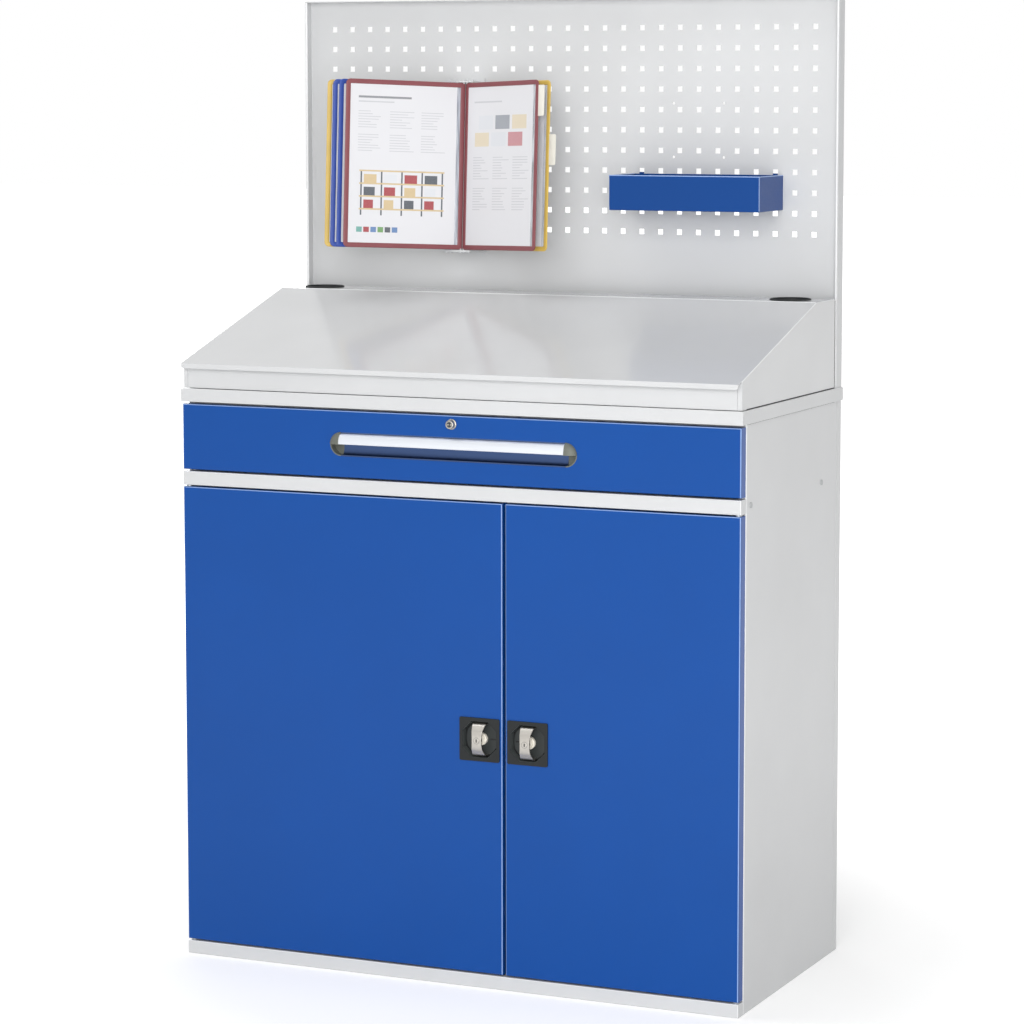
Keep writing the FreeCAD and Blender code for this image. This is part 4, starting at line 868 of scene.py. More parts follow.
@dataclass
class Desk:
    """The sloped desk of one folded sheet, its front strip and the two pen cups."""

    cup_x: float = 478.0
    cup_y: float = 179.0
    shelf: float = 1220.5
    cup_radius: float = 35.5
    rim_radius: float = 38.0
    rim: float = 3.0
    rim_lift: float = 0.4
    cup_depth: float = 70.0
    wall: float = 2.0
    axis_gap: float = 0.5

    def build(self) -> None:
        """Dress the desk and make its cups."""
        dress(DESK_COAT, "desk_shell", "desk_front")
        self.cups()

    def cups(self) -> None:
        """Make both cups as turned shells: up a wall with a round foot, over a half-elliptic rim and down inside."""
        outer, inner = self.cup_radius, self.cup_radius - self.wall
        floor, lift = self.shelf - self.cup_depth, self.rim_lift
        turn = np.linspace(0, math.pi, 9)
        middle, half = (self.rim_radius + inner) / 2, (self.rim_radius - inner) / 2
        rim = np.column_stack([middle + half * np.cos(turn), self.shelf + lift + (self.rim - lift) * np.sin(turn)])
        profile = np.concatenate([
            [[self.axis_gap, floor], [outer - 6, floor], [outer - 1.5, floor + 3], [outer, floor + 8],
             [outer, self.shelf], [self.rim_radius, self.shelf]],
            rim,
            [[inner, self.shelf - 2], [inner, floor + 9], [inner - 2, floor + 4], [inner - 6, floor + self.wall],
             [self.axis_gap, floor + self.wall]],
        ])
        shell = lathe(profile, steps=64)
        cups = [Patch(shell + np.array([side.value * self.cup_x, self.cup_y, 0.0])) for side in Side]
        piece = mesh_piece("pen_cup_shells", cups, BLACK_PLASTIC, "cabinet")
        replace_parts(piece, "pen_cups")


@dataclass
class PanelWall:
    """The perforated panel behind the desk and the tray that hooks into it."""

    tray_height: float = 64.5
    tray_depth: float = 124.0
    sheet: float = 1.5
    rim_radius: float = 1.0
    rim_proud: float = 0.4

    def build(self) -> None:
        """Dress the panel and the tray, and make the painted highlight along the tray's rim."""
        dress(GREY_COAT, "rear_panel")
        dress(SHADED_TRAY_COAT, "accessory_tray")
        self.tray_rim_highlight()

    def tray_rim_highlight(self) -> None:
        """Make the painted highlight on the tray's rim: pale round bars drawn out along the top edges of its front
        and its ends.
        """
        tray = NodeBox.of("accessory_tray")
        level = tray.low[2] + self.tray_height + self.rim_proud - self.rim_radius
        front, half = tray.low[1], self.sheet / 2
        ring = circle(self.rim_radius, steps=12)
        bars = [Patch(drawn_out(ring + np.array([front + half, level]), tray.low[0] + half, tray.high[0] - half))]
        for x in (tray.low[0] + half, tray.high[0] - half):
            bars.append(Patch(drawn_out(ring + np.array([x, level]), front + half, front + self.tray_depth - half,
                                        axis=1)))
        mesh_piece("tray_rim_highlight", bars, HIGHLIGHT_BLUE_COAT, "cabinet")


@dataclass
class Drawer:
    """The wide drawer: front, box, recessed grip with its end caps, lock and runners."""

    grip_half: float = 220.25
    grip_z: float = 968.25
    grip_radius: float = 21.75
    grip_proud: float = 11.0
    grip_depth: float = 16.0
    grip_wall: float = 2.0
    grip_seam: float = 2.6
    hood_lift: float = 1.5
    hood_root: float = 4.0
    trough_foot: float = 0.6
    trough_head: float = 0.2
    lip_proud: float = 1.2
    lip_drop: float = 0.2
    lip_root: float = 0.5
    lip_rise: float = 0.8
    lip_corner: float = 0.45
    ring_radius: float = 9.8
    ring_height: float = 1.6
    ring_overlap: float = 1.5
    plug_face: float = 5.0
    plug_radius: float = 4.6
    rib_half: float = 1.2
    rib_gap: float = 0.9
    rib_corner: float = 0.5
    rib_levels: tuple[float, float] = (-0.3, 0.6)
    rib_edge: float = 0.3

    def build(self) -> None:
        """Dress the drawer's nodes, and make its grip and the face of its lock."""
        dress(BLUE_COAT, "drawer_front")
        dress(GREY_COAT, "drawer_box")
        dress(GREY_PLASTIC, "grip_caps")
        dress(NICKEL, "drawer_lock_barrel")
        dress(DARK_REFLECTION_NICKEL, "drawer_lock_plug")
        for side in Side:
            dress(ZINC, *(f"{side.word}_runner_{part}" for part in ("outer", "middle", "inner")))
        self.grip()
        self.lock_ring()
        self.lock_reflection_ribs()

    def grip(self) -> None:
        """Make the grip's bright hood, and the channel with its lower lip behind it, painted dark as painted shade
        and reflection.
        """
        ends = (-self.grip_half, self.grip_half)
        bottom = self.grip_z - self.grip_radius
        lip = rounded_loop((FRONT - self.lip_proud, bottom - self.lip_drop),
                           (FRONT + self.lip_root, bottom + self.lip_rise), (self.lip_corner,) * 4, steps=4)
        bright = [Patch(drawn_out(self.hood_section(), *ends))]
        hood = mesh_piece("grip_hood", bright, ALUMINIUM, "drawer")
        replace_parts(hood, "drawer_grip")
        shaded = [Patch(drawn_out(profile, *ends)) for profile in (self.channel_section(), lip)]
        mesh_piece("grip_channel", shaded, SHADED_CHANNEL_ALUMINIUM, "drawer")

    def hood_section(self) -> np.ndarray:
        """Section of the hood: a quarter ellipse and its inner copy, joined by a half-round lower edge.

        Returns:
            Y and Z of the points around it.
        """
        turn = np.linspace(0, math.pi / 2, 14)
        out, wall, foot = self.grip_proud, self.grip_wall, self.grip_z + self.hood_lift
        rise = self.grip_radius - self.grip_seam - self.hood_lift
        outer = np.column_stack([FRONT - out * np.cos(turn), foot + rise * np.sin(turn)])
        inner = np.column_stack([FRONT - (out - wall) * np.cos(turn), foot + (rise - wall) * np.sin(turn)])
        root = [[FRONT + self.hood_root, foot + rise], [FRONT + self.hood_root, foot + rise - wall]]
        half = np.linspace(0, math.pi, 7)[1:-1]
        edge = np.column_stack([FRONT - out + wall / 2 * (1 + np.cos(half)), foot - wall / 2 * np.sin(half)])
        return np.concatenate([outer, root, inner[::-1], edge])

    def channel_section(self) -> np.ndarray:
        """Section of the channel: a box behind the front with a well-rounded trough in it.

        Returns:
            Y and Z of the points around it.
        """
        back, radius, wall = FRONT + self.grip_depth, self.grip_radius, self.grip_wall
        low, high = self.grip_z - radius, self.grip_z + radius
        foot, head = FRONT - self.trough_foot, FRONT - self.trough_head
        trough = smooth_path([(foot, low + wall), (back - wall, low + wall), (back - wall, high - wall),
                              (head, high - wall)], rounds=3)
        return np.concatenate([trough, [[head, high], [back, high], [back, low], [foot, low]]])

    def lock_ring(self) -> None:
        """Make the turned washer at the root of the lock's barrel, with a round outer edge."""
        barrel = NodeBox.of("drawer_lock_barrel")
        turn, height = np.linspace(0, math.pi / 2, 5), self.ring_height
        edge = np.column_stack([self.ring_radius - height + height * np.cos(turn), height * np.sin(turn)])
        inner = (barrel.high[0] - barrel.low[0]) / 2 - self.ring_overlap
        ring = lathe(np.concatenate([[[inner, 0.0]], edge, [[inner, height]]]), steps=40)
        points = facing_front(ring, barrel.middle[0], FRONT, barrel.middle[2])
        mesh_piece("lock_ring", [Patch(points, loop_rows=True)], NICKEL, "drawer")

    def lock_reflection_ribs(self) -> None:
        """Make the two bright ribs on the lock's dark face, one to each side of its key slot: with the dark face they
        paint the reflection band of a dished plug.
        """
        plug = NodeBox.of("drawer_lock_plug")
        x, z = plug.high[0] - self.plug_face, plug.middle[2]
        ribs = []
        for side in Side:
            start, end = sorted((side.value * self.rib_gap, side.value * self.plug_radius))
            loop = rounded_loop((start, -self.rib_half), (end, self.rib_half), (self.rib_corner,) * 4, steps=4)
            rib = slab(loop, *self.rib_levels, self.rib_edge, steps=3)
            ribs.append(Patch(facing_front(rib, x, plug.low[1], z)))
        mesh_piece("lock_reflection_ribs", ribs, NICKEL, "drawer_lock")


@dataclass
class CupboardDoor:
    """One door with its latch: dish, turning base, bowed and waisted strap, hub, key face and rods."""

    side: Side
    strap_waist: float = 9.0
    strap_flare: float = 4.0
    strap_thickness: float = 2.2
    strap_corner: float = 0.09
    bow: tuple[tuple[float, float], ...] = ((-0.3, 0.0), (1.3, 15.2), (4.0, 19.4))
    shoulder: float = 12.0
    hub_radius: float = 11.3
    hub_height: float = 6.4
    hub_edge: float = 1.8
    key_radius: float = 5.2
    key_sink: float = 0.2
    key_gap: float = 0.8
    key_gap_half: float = 0.3
    key_clearance: float = 0.05
    key_slot: tuple[float, float] = (1.1, 2.9)
    slot_corner: float = 0.4
    slot_levels: tuple[float, float] = (0.3, 0.76)
    slot_edge: float = 0.05
    mark_length: float = 11.5
    mark_start: float = 16.0
    mark_half: float = 1.3
    mark_corner: float = 0.8
    mark_levels: tuple[float, float] = (-0.1, 0.15)
    mark_edge: float = 0.1
    dish_width: float = 66.0
    dish_side: float = 32.0
    dish_floor: float = 2.8
    lining_gap: float = 0.05
    lining: float = 0.5
    lining_rim: float = 1.2

    def build(self) -> None:
        """Dress the door and make the pieces of its handle."""
        word = self.side.word
        dress(BLUE_COAT, f"{word}_door")
        dress(BLACK_PLASTIC, f"{word}_escutcheon")
        dress(LIGHTENED_POLYAMIDE, f"{word}_lever_base")
        dress(NICKEL, f"{word}_key_plug")
        dress(ZINC, f"{word}_upper_rod", f"{word}_lower_rod")
        lever = NodeBox.of(f"{word}_lever")
        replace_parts(self.strap(lever), f"{word}_lever")
        self.hub(lever)
        self.key_face(lever)
        self.mark(lever)
        self.dish_lining(lever)

    def dish_lining(self, lever: NodeBox) -> None:
        """Make the lighter lining of the dish's walls, painted light against their shade: an eight-sided ring between
        two outlines, carried into the dish.

        Args:
            lever: box of the CAD lever.
        """
        rings = []
        for inset in (self.lining_gap, self.lining):
            wide, level = self.dish_width / 2 - inset, self.dish_side / 2 - inset * (math.sqrt(2) - 1)
            rings.append(np.array([[wide, -level], [wide, level], [level, wide], [-level, wide],
                                   [-wide, level], [-wide, -level], [-level, -wide], [level, -wide]]))
        plate = NodeBox.of(f"{self.side.word}_escutcheon")
        start, end = plate.low[1] + self.lining_rim, lever.high[1] + self.dish_floor
        outer, inner = rings
        walls = [np.column_stack([ring, np.full(8, -level)])
                 for ring, level in ((outer, start), (inner, start), (inner, end), (outer, end))]
        points = facing_front(np.stack(walls), lever.middle[0], 0.0, lever.middle[2])
        name = f"{self.side.word}_dish_lining"
        mesh_piece(name, [Patch(points, loop_rows=True)], LIGHTENED_LINING, f"{self.side.word}_door")

    def strap(self, lever: NodeBox) -> bpy.types.Object:
        """Make the bowed strap: a round-edged bar carried over two legs, two shoulders and a bow.

        Its half width is the waist's plus the flare times the square of the share of the way to its end.

        Args:
            lever: box of the CAD lever.

        Returns:
            The strap.
        """
        front, back, half = lever.low[1], lever.high[1], (lever.high[2] - lever.low[2]) / 2
        rising = [(front + y, z) for y, z in self.bow] + [(front + self.shoulder, half), (back, half)]
        path = smooth_path([(y, -z) for y, z in rising[:0:-1]] + rising)
        section = rounded_loop((-1.0, -self.strap_thickness), (1.0, 0.0), (self.strap_corner,) * 4, steps=4)
        widths = self.strap_waist + self.strap_flare * (path[:, 1] / half) ** 2
        points = carried(path, section, widths) + np.array([lever.middle[0], 0.0, lever.middle[2]])
        name = f"{self.side.word}_strap"
        return mesh_piece(name, [Patch(points)], LEVER_METAL, f"{self.side.word}_handle")

    def hub(self, lever: NodeBox) -> None:
        """Make the hub: a turned button with a round shoulder, a ring groove and a low dome.

        Args:
            lever: box of the CAD lever.
        """
        turn = np.linspace(0, math.pi / 2, 7)
        edge, radius, height = self.hub_edge, self.hub_radius, self.hub_height
        shoulder = np.column_stack([radius - edge + edge * np.cos(turn), height - edge + edge * np.sin(turn)])
        groove = [[8.6, height], [8.5, height - 0.9], [7.7, height - 0.9], [7.6, height]]
        dome = [[5.0, height + 0.3], [2.5, height + 0.45], [0.3, height + 0.5]]
        profile = np.concatenate([[[0.3, 0.0], [radius, 0.0]], shoulder, groove, dome])
        points = facing_front(lathe(profile, steps=40), lever.middle[0], lever.high[1], lever.middle[2])
        name = f"{self.side.word}_hub"
        mesh_piece(name, [Patch(points)], IVORY_PLASTIC, f"{self.side.word}_handle")

    def key_face(self, lever: NodeBox) -> None:
        """Make the key's turned face in the strap, its slot, a dark plate of painted shade, and the dark gap round
        it, a ring of darker metal painted as the gap's shade.

        Args:
            lever: box of the CAD lever.
        """
        word = self.side.word
        place = (lever.middle[0], lever.low[1] + self.key_sink, lever.middle[2])
        face = lathe([[0.3, -0.2], [self.key_radius, -0.2], [self.key_radius, 0.4], [4.8, 0.7], [0.3, 0.7]], steps=32)
        mesh_piece(f"{word}_key_face", [Patch(facing_front(face, *place))], LEVER_METAL, f"{word}_key")
        wide, tall = self.key_slot
        loop = rounded_loop((-wide, -tall), (wide, tall), (self.slot_corner,) * 4, steps=3)
        slot = slab(loop, *self.slot_levels, self.slot_edge, steps=2)
        mesh_piece(f"{word}_key_slot", [Patch(facing_front(slot, *place))], DARK_MARK_AND_SLOT_SHADE, f"{word}_key")
        inner, outer = self.key_radius + self.key_clearance, self.key_radius + self.key_gap
        half = self.key_gap_half
        ring = lathe([[inner, -half], [outer, -half], [outer, half], [inner, half]], steps=32)
        mesh_piece(f"{word}_key_gap", [Patch(facing_front(ring, *place), loop_rows=True)], GAP_METAL,
                   f"{word}_handle")

    def mark(self, lever: NodeBox) -> None:
        """Make the mark on the base, a round-edged bar that points to the split between the doors.

        Args:
            lever: box of the CAD lever.
        """
        towards = -self.side.value
        start, end = sorted((towards * self.mark_start, towards * (self.mark_start + self.mark_length)))
        loop = rounded_loop((start, -self.mark_half), (end, self.mark_half), (self.mark_corner,) * 4, steps=4)
        bar = slab(loop, *self.mark_levels, self.mark_edge, steps=3)
        points = facing_front(bar, lever.middle[0], lever.high[1], lever.middle[2])
        name = f"{self.side.word}_base_mark"
        mesh_piece(name, [Patch(points)], DARK_MARK_AND_SLOT_SHADE, f"{self.side.word}_handle")


@dataclass(frozen=True)
class Mark:
    """A printed rectangle, in millimetres from a sheet's lower left corner."""

    left: float
    bottom: float
    right: float
    top: float
    ink: Ink


def text_block(left: float, top: float, width: float, lines: int, seed: int) -> list[Mark]:
    """Rows of plain bars that stand for lines of small print, each a random share of the longest, in whole steps.

    Args:
        left: left edge of the rows.
        top: top of the first row.
        width: longest row.
        lines: number of rows.
        seed: seed for the rows' lengths.

    Returns:
        One mark per row.
    """
    shortest, step, pitch, tall = 0.45, 4, 5.0, 1.4
    lengths = np.round(width * np.random.default_rng(seed).uniform(shortest, 1.0, lines) / step) * step
    tops = top - pitch * np.arange(lines)
    return [Mark(left, float(level - tall), float(left + length), float(level), Ink.TEXT)
            for level, length in zip(tops, lengths)]


def rack(left: float, bottom: float, bays: Sequence[Sequence[Ink]]) -> list[Mark]:
    """A shelf rack drawn flat: slate posts, wooden boards and one box on each board.

    Args:
        left: left edge of the rack.
        bottom: level of its lowest board.
        bays: inks of the boxes in each bay, from the lowest board up.

    Returns:
        The posts, boards and boxes.
    """
    bay, level, post, foot, board, overhang = 40.0, 24.0, 1.5, 10, 3, 4
    box_left, box_right, box_top, wider = 5, 24, 19, 3
    rise, right = len(bays[0]) * level, left + len(bays) * bay
    marks = [Mark(left + number * bay - post, bottom - foot, left + number * bay + post, bottom + rise, Ink.SLATE)
             for number in range(len(bays) + 1)]
    marks += [Mark(left - overhang, bottom + step * level, right + overhang, bottom + step * level + board, Ink.WOOD)
              for step in range(len(bays[0]) + 1)]
    marks += [Mark(left + number * bay + box_left, bottom + step * level + board,
                   left + number * bay + box_right + wider * step, bottom + step * level + box_top, ink)
              for number, boxes in enumerate(bays) for step, ink in enumerate(boxes)]
    return marks


def rack_sheet() -> list[Mark]:
    """Layout with a title and three columns of print over a shelf rack, and index squares along the foot."""
    marks = [Mark(16, 272, 120, 276, Ink.TITLE), Mark(16, 264, 86, 266.5, Ink.TEXT)]
    for column, seed in ((16, 3), (78, 4), (140, 5)):
        marks += text_block(column, 248, 50, 7, seed) + text_block(column, 204, 50, 7, seed + 20)
    marks += rack(24, 62, ((Ink.RED, Ink.SLATE, Ink.WOOD), (Ink.WOOD, Ink.RED, Ink.PALE),
                           (Ink.SLATE, Ink.WOOD, Ink.RED), (Ink.RED, Ink.PALE, Ink.SLATE)))
    for number, ink in enumerate((Ink.TEAL, Ink.RED, Ink.BLUE, Ink.GREEN, Ink.SLATE, Ink.BLUE)):
        marks.append(Mark(16 + 14 * number, 20, 27 + 14 * number, 30, ink))
    return marks


def block_sheet() -> list[Mark]:
    """Layout with stacked pale blocks at the head, washed pale as a painted reflection of the film's glare, and print
    below.
    """
    marks = [Mark(20, 268, 110, 271, Ink.TEXT)]
    rows = ((186, (Ink.GLARE_PALE_WOOD, Ink.PALE, Ink.GLARE_PALE_RED)), (218, (Ink.PALE, Ink.GLARE_PALE_SLATE, Ink.GLARE_PALE_WOOD)))
    for row, (level, inks) in enumerate(rows):
        for number, ink in enumerate(inks):
            left = 24 + 54 * number + 12 * row
            marks.append(Mark(left, level, left + 46, level + 26, ink))
    for column, seed in ((20, 11), (84, 12), (148, 13)):
        marks += text_block(column, 166, 52, 9, seed) + text_block(column, 108, 52, 9, seed + 5)
    return marks


@dataclass(frozen=True)
class PagePlace:
    """Where a page hangs: its hand, its number from the front and the turn of its fan."""

    side: Side
    number: int
    first_angle: float
    step_angle: float = 4.0
    pivot_gap: float = 7.0
    pivot_step: float = 10.0
    lean: float = 3.3
    centre: tuple[float, float, float] = (-190.0, 200.5, 1455.5)

    @property
    def body(self) -> str:
        """Name of the page's body."""
        return f"{self.side.word}_page_{self.number}"

    def put(self, points: np.ndarray) -> np.ndarray:
        """Turn a page about its pivot, then lean it back and hang it on the panel.

        Args:
            points: points of the page: outwards from the pivot, up, and out of its front face.

        Returns:
            The points in the frame's axes.
        """
        sign = self.side.value
        out, up, front = points[..., 0] * sign, points[..., 1], -points[..., 2]
        angle = math.radians(-sign * (self.first_angle - (self.number - 1) * self.step_angle))
        x = out * math.cos(angle) - front * math.sin(angle)
        y = out * math.sin(angle) + front * math.cos(angle)
        x = x + sign * (self.pivot_gap / 2 + (self.number - 1) * self.pivot_step)
        lean = math.radians(self.lean)
        leant = np.stack([x, y * math.cos(lean) + up * math.sin(lean),
                          up * math.cos(lean) - y * math.sin(lean)], axis=-1)
        return leant + np.array(self.centre)


@dataclass
class DisplayPage:
    """One swinging page: a coloured frame, a printed sheet in a welded film pocket, pivots and a tab."""

    place: PagePlace
    colour: PageColour
    layout: list[Mark]
    reach: float = 232.0
    tail: float = 3.0
    half_height: float = 158.0
    bar: float = 9.0
    thickness: float = 3.0
    corner: float = 9.0
    spine_corner: float = 2.5
    opening_corner: float = 1.5
    squareness: float = 3.2
    sheet_half: float = 0.3
    film_half: float = 0.4
    film_margin: float = 7.0
    film_corner: float = 0.5
    tab_half: float = 0.5
    tab_corner: float = 3.0
    tab_edge: float = 0.3
    film_at_spine: bool = True
    tab: tuple[float, float, float] | None = None

    def build(self) -> None:
        """Make the page's pieces."""
        body = self.place.body
        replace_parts(self.frame_piece(), f"{body}_frame")
        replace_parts(self.sheet_piece(), f"{body}_insert")
        self.film_piece()
        self.pivot_piece()
        if self.tab is not None:
            self.tab_piece(*self.tab)

    def opening(self) -> tuple[tuple[float, float], tuple[float, float]]:
        """Lowest and highest corner of the frame's opening."""
        rise = self.half_height - self.bar
        return (self.bar - self.tail, -rise), (self.reach - self.bar, rise)

    def sheet_corners(self) -> tuple[tuple[float, float], tuple[float, float]]:
        """Lowest and highest corner of the sheet, which leaves a strip of film bare beside it."""
        low, high = self.opening()
        if self.film_at_spine:
            return (low[0] + self.film_margin, low[1]), high
        return low, (high[0] - self.film_margin, high[1])

    def frame_piece(self) -> bpy.types.Object:
        """Make the frame: a squared-off bar between the page's outline and its opening.

        Returns:
            The frame.
        """
        outer = rounded_loop((-self.tail, -self.half_height), (self.reach, self.half_height),
                             (self.spine_corner, self.corner, self.corner, self.spine_corner), steps=7)
        inner = rounded_loop(*self.opening(), (self.opening_corner,) * 4, steps=7)
        points = self.place.put(band(outer, inner, self.thickness, self.squareness))
        name = f"{self.place.body}_bar"
        return mesh_piece(name, [Patch(points, loop_rows=True)], PAGE_PLASTICS[self.colour], self.place.body,
                          crease=60.0)

    def sheet_piece(self) -> bpy.types.Object:
        """Make the printed sheet: a grid cut at every mark's edges, as read from both faces, closed round its rim.

        Returns:
            The sheet.
        """
        low, high = self.sheet_corners()
        width, height = high[0] - low[0], high[1] - low[1]
        cuts = np.concatenate([[0.0, width]] + [[mark.left, mark.right] for mark in self.layout])
        across = np.unique(np.round(np.concatenate([cuts, width - cuts]), 3))
        upward = np.unique(np.concatenate([[0.0, height]] + [[mark.bottom, mark.top] for mark in self.layout]))
        across, upward = across[(across >= 0) & (across <= width)], upward[upward <= height]
        out, up = np.meshgrid(across + low[0], upward + low[1], indexing="ij")
        levels = (self.sheet_half, -self.sheet_half)
        faces_out = [np.stack([out, up, np.full_like(out, level)], axis=-1) for level in levels]
        points = self.place.put(np.stack(faces_out))
        quads, inks = self.printed_faces(across, upward)
        mesh = bpy.data.meshes.new(f"{self.place.body}_sheet")
        mesh.from_pydata((points.reshape(-1, 3) * MM).tolist(), [], quads.tolist())
        mesh.attributes.new("ink", "FLOAT_COLOR", "FACE").data.foreach_set("color", inks.ravel())
        return finished_piece(mesh, SHEET_PRINT, self.place.body)

    def printed_faces(self, across: np.ndarray, upward: np.ndarray) -> tuple[np.ndarray, np.ndarray]:
        """Faces of the sheet and the ink of each.

        The front's columns count from the page's left as it is read, so a left page's run from its outer edge.

        Args:
            across: cuts outwards from the pivot.
            upward: cuts upwards.

        Returns:
            Point numbers of each face, and its linear colour.
        """
        columns, rows = len(across), len(upward)
        numbers = np.arange(2 * columns * rows).reshape(2, columns, rows)
        corners = np.stack([numbers[:, :-1, :-1], numbers[:, 1:, :-1], numbers[:, 1:, 1:], numbers[:, :-1, 1:]], -1)
        handed = self.place.side.value
        front = corners[0].reshape(-1, 4)[:, ::handed]
        back = corners[1].reshape(-1, 4)[:, ::-handed]
        loops = [np.concatenate([grid[:, 0], grid[-1, 1:], grid[-2::-1, -1], grid[0, -2:0:-1]]) for grid in numbers]
        rim = np.stack([loops[0], loops[1], np.roll(loops[1], -1), np.roll(loops[0], -1)], -1)[:, ::handed]
        middle_x, middle_z = (across[:-1] + across[1:]) / 2, (upward[:-1] + upward[1:]) / 2
        inks = [self.inked(read_x, middle_z) for read_x in (middle_x, across[-1] - middle_x)[::handed]]
        plain = np.tile(np.array(linear(Ink.PAPER.value), np.float32), (len(rim), 1))
        return np.concatenate([front, back, rim]), np.concatenate([*inks, plain])

    def inked(self, read_x: np.ndarray, read_z: np.ndarray) -> np.ndarray:
        """Ink of each cell of a face, by the marks that its middle lies in.

        Args:
            read_x: middles of the columns, from the left as the face is read.
            read_z: middles of the rows, from the foot.

        Returns:
            A linear colour for each cell.
        """
        inks = np.tile(np.array(linear(Ink.PAPER.value), np.float32), (len(read_x), len(read_z), 1))
        for mark in self.layout:
            covered = np.outer((read_x > mark.left) & (read_x < mark.right),
                               (read_z > mark.bottom) & (read_z < mark.top))
            inks[covered] = linear(mark.ink.value)
        return inks.reshape(-1, 4)

    def film_piece(self) -> None:
        """Make the welded border of the film pocket, a thin round-edged strip that shows beside the sheet."""
        low, high = self.opening()
        start = low[0] if self.film_at_spine else high[0] - self.film_margin
        loop = rounded_loop((start, low[1]), (start + self.film_margin, high[1]), (self.film_corner,) * 4, steps=3)
        points = self.place.put(slab(loop, -self.film_half, self.film_half, self.film_half / 2, steps=3))
        mesh_piece(f"{self.place.body}_film", [Patch(points)], FILM, self.place.body)

    def pivot_piece(self) -> None:
        """Make the turned pivot pins at the top and bottom of the inner edge, with collars, as one piece."""
        profile = [[0.3, -2.0], [1.7, -2.0], [1.7, 4.2], [3.0, 4.3], [3.1, 5.4], [2.2, 6.2], [0.3, 6.4]]
        pin = lathe(profile, steps=20)
        ends = [np.stack([pin[..., 0], sign * (self.half_height + pin[..., 2]), pin[..., 1]], axis=-1)
                for sign in (1, -1)]
        pins = [Patch(self.place.put(points)) for points in ends]
        mesh_piece(f"{self.place.body}_pivots", pins, PIVOT_PLASTIC, self.place.body)

    def tab_piece(self, drop: float, height: float, width: float) -> None:
        """Make the index tab on the page's outer edge, a round-edged plate.

        Args:
            drop: distance from the page's top to the tab's.
            height: height of the tab.
            width: how far it reaches out.
        """
        top, half, corner = self.half_height - drop, self.tab_half, self.tab_corner
        loop = rounded_loop((self.reach - half, top - height), (self.reach + width, top),
                            (half, corner, corner, half), steps=5)
        points = self.place.put(slab(loop, -half, half, self.tab_edge, steps=3))
        mesh_piece(f"{self.place.body}_tab", [Patch(points)], TAB_PLASTIC, self.place.body)


@dataclass
class PageDisplay:
    """The fan of display pages and the bracket that hooks it into the panel."""

    left_angle: float = 43.5
    right_angle: float = 30.0
    left_colours: tuple[PageColour, ...] = (PageColour.RED, PageColour.BLUE, PageColour.BLUE, PageColour.YELLOW)
    right_colours: tuple[PageColour, ...] = (PageColour.RED, PageColour.YELLOW)
    tab_drop: float = 10.0
    tab_step: float = 90.0
    tab_height: float = 57.0
    tab_width: float = 18.0

    def build(self) -> None:
        """Dress the bracket and make the pages."""
        dress(GREY_COAT, "display_bracket")
        layouts = (rack_sheet(), block_sheet())
        for number, colour in enumerate(self.left_colours):
            place = PagePlace(Side.LEFT, number + 1, self.left_angle)
            DisplayPage(place, colour, layouts[number % 2]).build()
        for number, colour in enumerate(self.right_colours):
            place = PagePlace(Side.RIGHT, number + 1, self.right_angle)
            tab = (self.tab_drop + number * self.tab_step, self.tab_height, self.tab_width)
            DisplayPage(place, colour, layouts[(number + 1) % 2], film_at_spine=False, tab=tab).build()


@dataclass(frozen=True)
class Softbox:
    """A rectangular lamp: where it hangs and aims, its sides in metres and its power in watts."""

    name: str
    place: tuple[float, float, float]
    aim: tuple[float, float, float]
    width: float
    height: float
    power: float

    def hang(self) -> None:
        """Make the lamp and turn it to what it aims at."""
        light = bpy.data.lights.new(self.name, "AREA")
        light.shape = "RECTANGLE"
        light.size, light.size_y = self.width, self.height
        light.energy = self.power
        lamp = bpy.data.objects.new(self.name, light)
        lamp.location = self.place
        lamp.rotation_euler = (Vector(self.aim) - Vector(self.place)).to_track_quat("-Z", "Y").to_euler()
        bpy.context.scene.collection.objects.link(lamp)


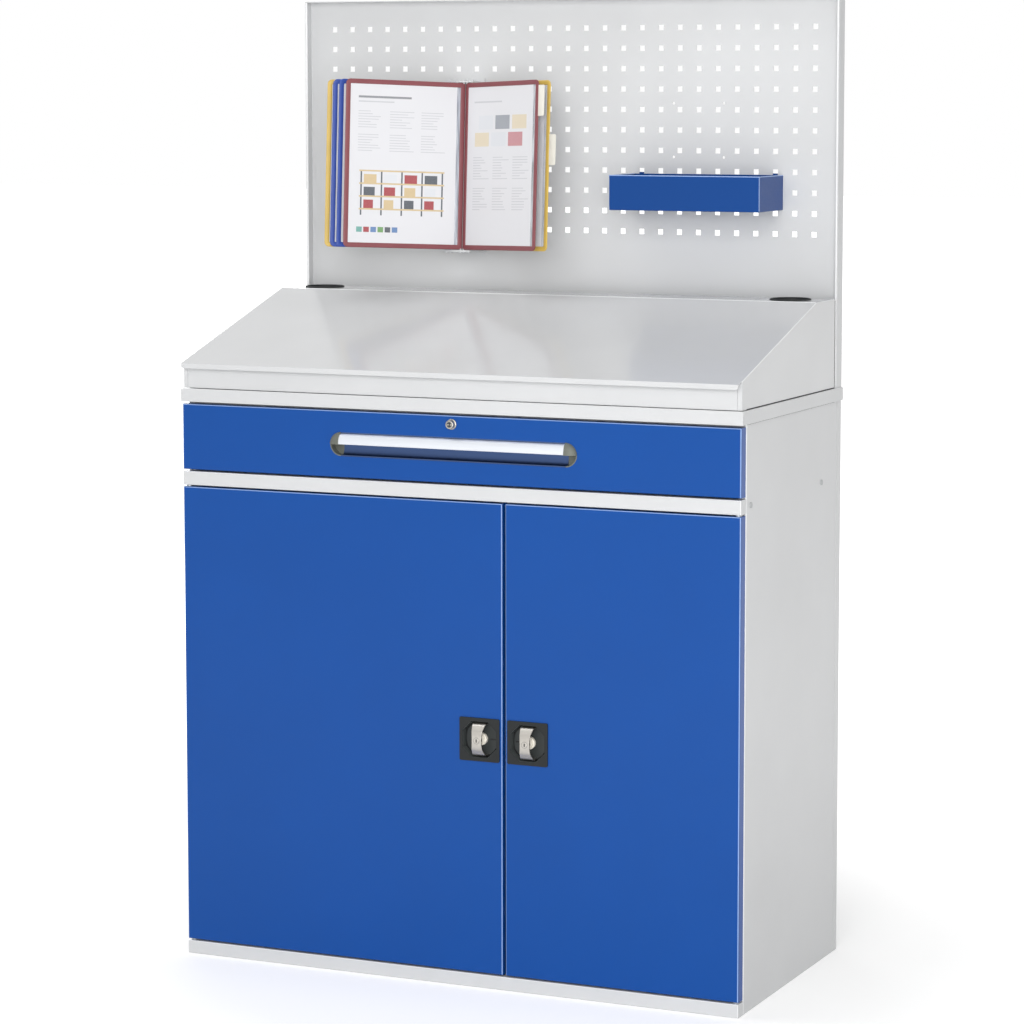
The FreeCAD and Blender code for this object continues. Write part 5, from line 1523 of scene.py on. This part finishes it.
@dataclass
class Studio:
    """A white studio with soft lamps, and a camera at the photograph's viewing angle. Lengths are metres."""

    camera_place: tuple[float, float, float] = (2.5575, -5.5830, 1.6135)
    yaw: float = 24.08
    pitch: float = 5.90
    lens: float = 118.12
    shift: tuple[float, float] = (-0.0293, -0.08)
    ambient: float = 0.44
    floor_colour: str = "EDEDED"
    floor_reach: float = 40.0
    floor_roughness: float = 0.9
    fade: tuple[float, float] = (0.6, 2.6)
    near_glow: float = 0.3
    lamps: tuple[Softbox, ...] = (
        Softbox("key_softbox", (1.5, -5.3, 3.0), (0.1, 0.0, 0.9), 3.2, 2.4, 120.0),
        Softbox("fill_softbox", (2.4, -5.0, 1.3), (0.2, 0.0, 0.9), 2.6, 2.0, 105.0),
        Softbox("top_bank", (-1.35, -0.5, 4.0), (-0.6, -0.3, 0.9), 1.0, 3.0, 33.0),
        Softbox("side_strip", (4.0, -0.9, 1.3), (0.55, 0.0, 0.9), 1.2, 2.4, 12.0),
        Softbox("rear_softbox", (-3.6, 4.4, 0.9), (-0.2, 0.2, 0.9), 3.0, 1.6, 110.0),
    )

    def build(self) -> None:
        """Set up the camera, the lamps, the world and the floor."""
        self.camera()
        for lamp in self.lamps:
            lamp.hang()
        self.world()
        self.floor()
        bpy.context.scene.view_settings.view_transform = "Standard"

    def camera(self) -> None:
        """Place the camera by its heading to the left and its dip below the horizon."""
        yaw, pitch = math.radians(self.yaw), math.radians(self.pitch)
        right = Vector((math.cos(yaw), math.sin(yaw), 0.0))
        ahead = Vector((-math.sin(yaw) * math.cos(pitch), math.cos(yaw) * math.cos(pitch), -math.sin(pitch)))
        lens = bpy.data.cameras.new("camera")
        lens.lens = self.lens
        lens.shift_x, lens.shift_y = self.shift
        camera = bpy.data.objects.new("camera", lens)
        turn = Matrix((right, right.cross(ahead), -ahead)).transposed()
        camera.rotation_euler = turn.to_euler()
        camera.location = self.camera_place
        bpy.context.scene.collection.objects.link(camera)
        bpy.context.scene.camera = camera

    def seen(self, tree: bpy.types.NodeTree) -> bpy.types.NodeSocket:
        """Whether a ray comes from the camera, a gloss or a clear piece.

        Args:
            tree: the tree that asks.

        Returns:
            1 if it does, and 0 if not.
        """
        path = add_node(tree, "ShaderNodeLightPath").outputs
        gloss = add_node(tree, "ShaderNodeMath", {0: path["Is Camera Ray"], 1: path["Is Glossy Ray"]},
                         operation="MAXIMUM").outputs[0]
        return add_node(tree, "ShaderNodeMath", {0: gloss, 1: path["Is Transmission Ray"]},
                        operation="MAXIMUM").outputs[0]

    def world(self) -> None:
        """Light the scene from all round, and show a white background."""
        world = bpy.data.worlds.new("studio")
        world.use_nodes = True
        tree = world.node_tree
        tree.nodes.clear()
        strength = add_node(tree, "ShaderNodeMapRange", {
            "Value": self.seen(tree), "To Min": self.ambient, "To Max": 1.0}).outputs["Result"]
        sky = add_node(tree, "ShaderNodeBackground", {"Color": WHITE, "Strength": strength})
        add_node(tree, "ShaderNodeOutputWorld", {"Surface": sky.outputs["Background"]})
        bpy.context.scene.world = world

    def floor(self) -> None:
        """Lay a pale floor that keeps the shadow near the desk and fades to white further off."""
        mesh = bpy.data.meshes.new("studio_floor")
        corners = np.array([[-1, -1, 0], [1, -1, 0], [1, 1, 0], [-1, 1, 0]], float) * self.floor_reach
        mesh.from_pydata(corners.tolist(), [], [[0, 1, 2, 3]])
        material = bpy.data.materials.new("studio_floor_paint")
        material.use_nodes = True
        tree = material.node_tree
        tree.nodes.clear()
        place = add_node(tree, "ShaderNodeTexCoord").outputs["Object"]
        away = add_node(tree, "ShaderNodeVectorMath", {0: place}, operation="LENGTH").outputs["Value"]
        fade = add_node(tree, "ShaderNodeMapRange", {
            "Value": away, "From Min": self.fade[0], "From Max": self.fade[1], "To Min": self.near_glow,
            "To Max": 1.0}).outputs["Result"]
        glow = add_node(tree, "ShaderNodeMath", {0: fade, 1: self.seen(tree)}, operation="MULTIPLY").outputs[0]
        paint = add_node(tree, "ShaderNodeBsdfPrincipled", {
            "Base Color": linear(self.floor_colour), "Roughness": self.floor_roughness, "Specular IOR Level": 0.0,
            "Emission Color": WHITE, "Emission Strength": glow})
        add_node(tree, "ShaderNodeOutputMaterial", {"Surface": paint.outputs["BSDF"]})
        mesh.materials.append(material)
        floor = bpy.data.objects.new("studio_floor", mesh)
        bpy.context.scene.collection.objects.link(floor)


def main() -> None:
    """Build the desk's looks in order."""
    logging.basicConfig(level=logging.INFO, format="%(message)s")
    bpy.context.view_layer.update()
    Carcass().build()
    EdgeTrim().build()
    Desk().build()
    PanelWall().build()
    Drawer().build()
    for side in Side:
        CupboardDoor(side).build()
    PageDisplay().build()
    Studio().build()
    bpy.context.view_layer.update()


if __name__ == "__main__":
    main()
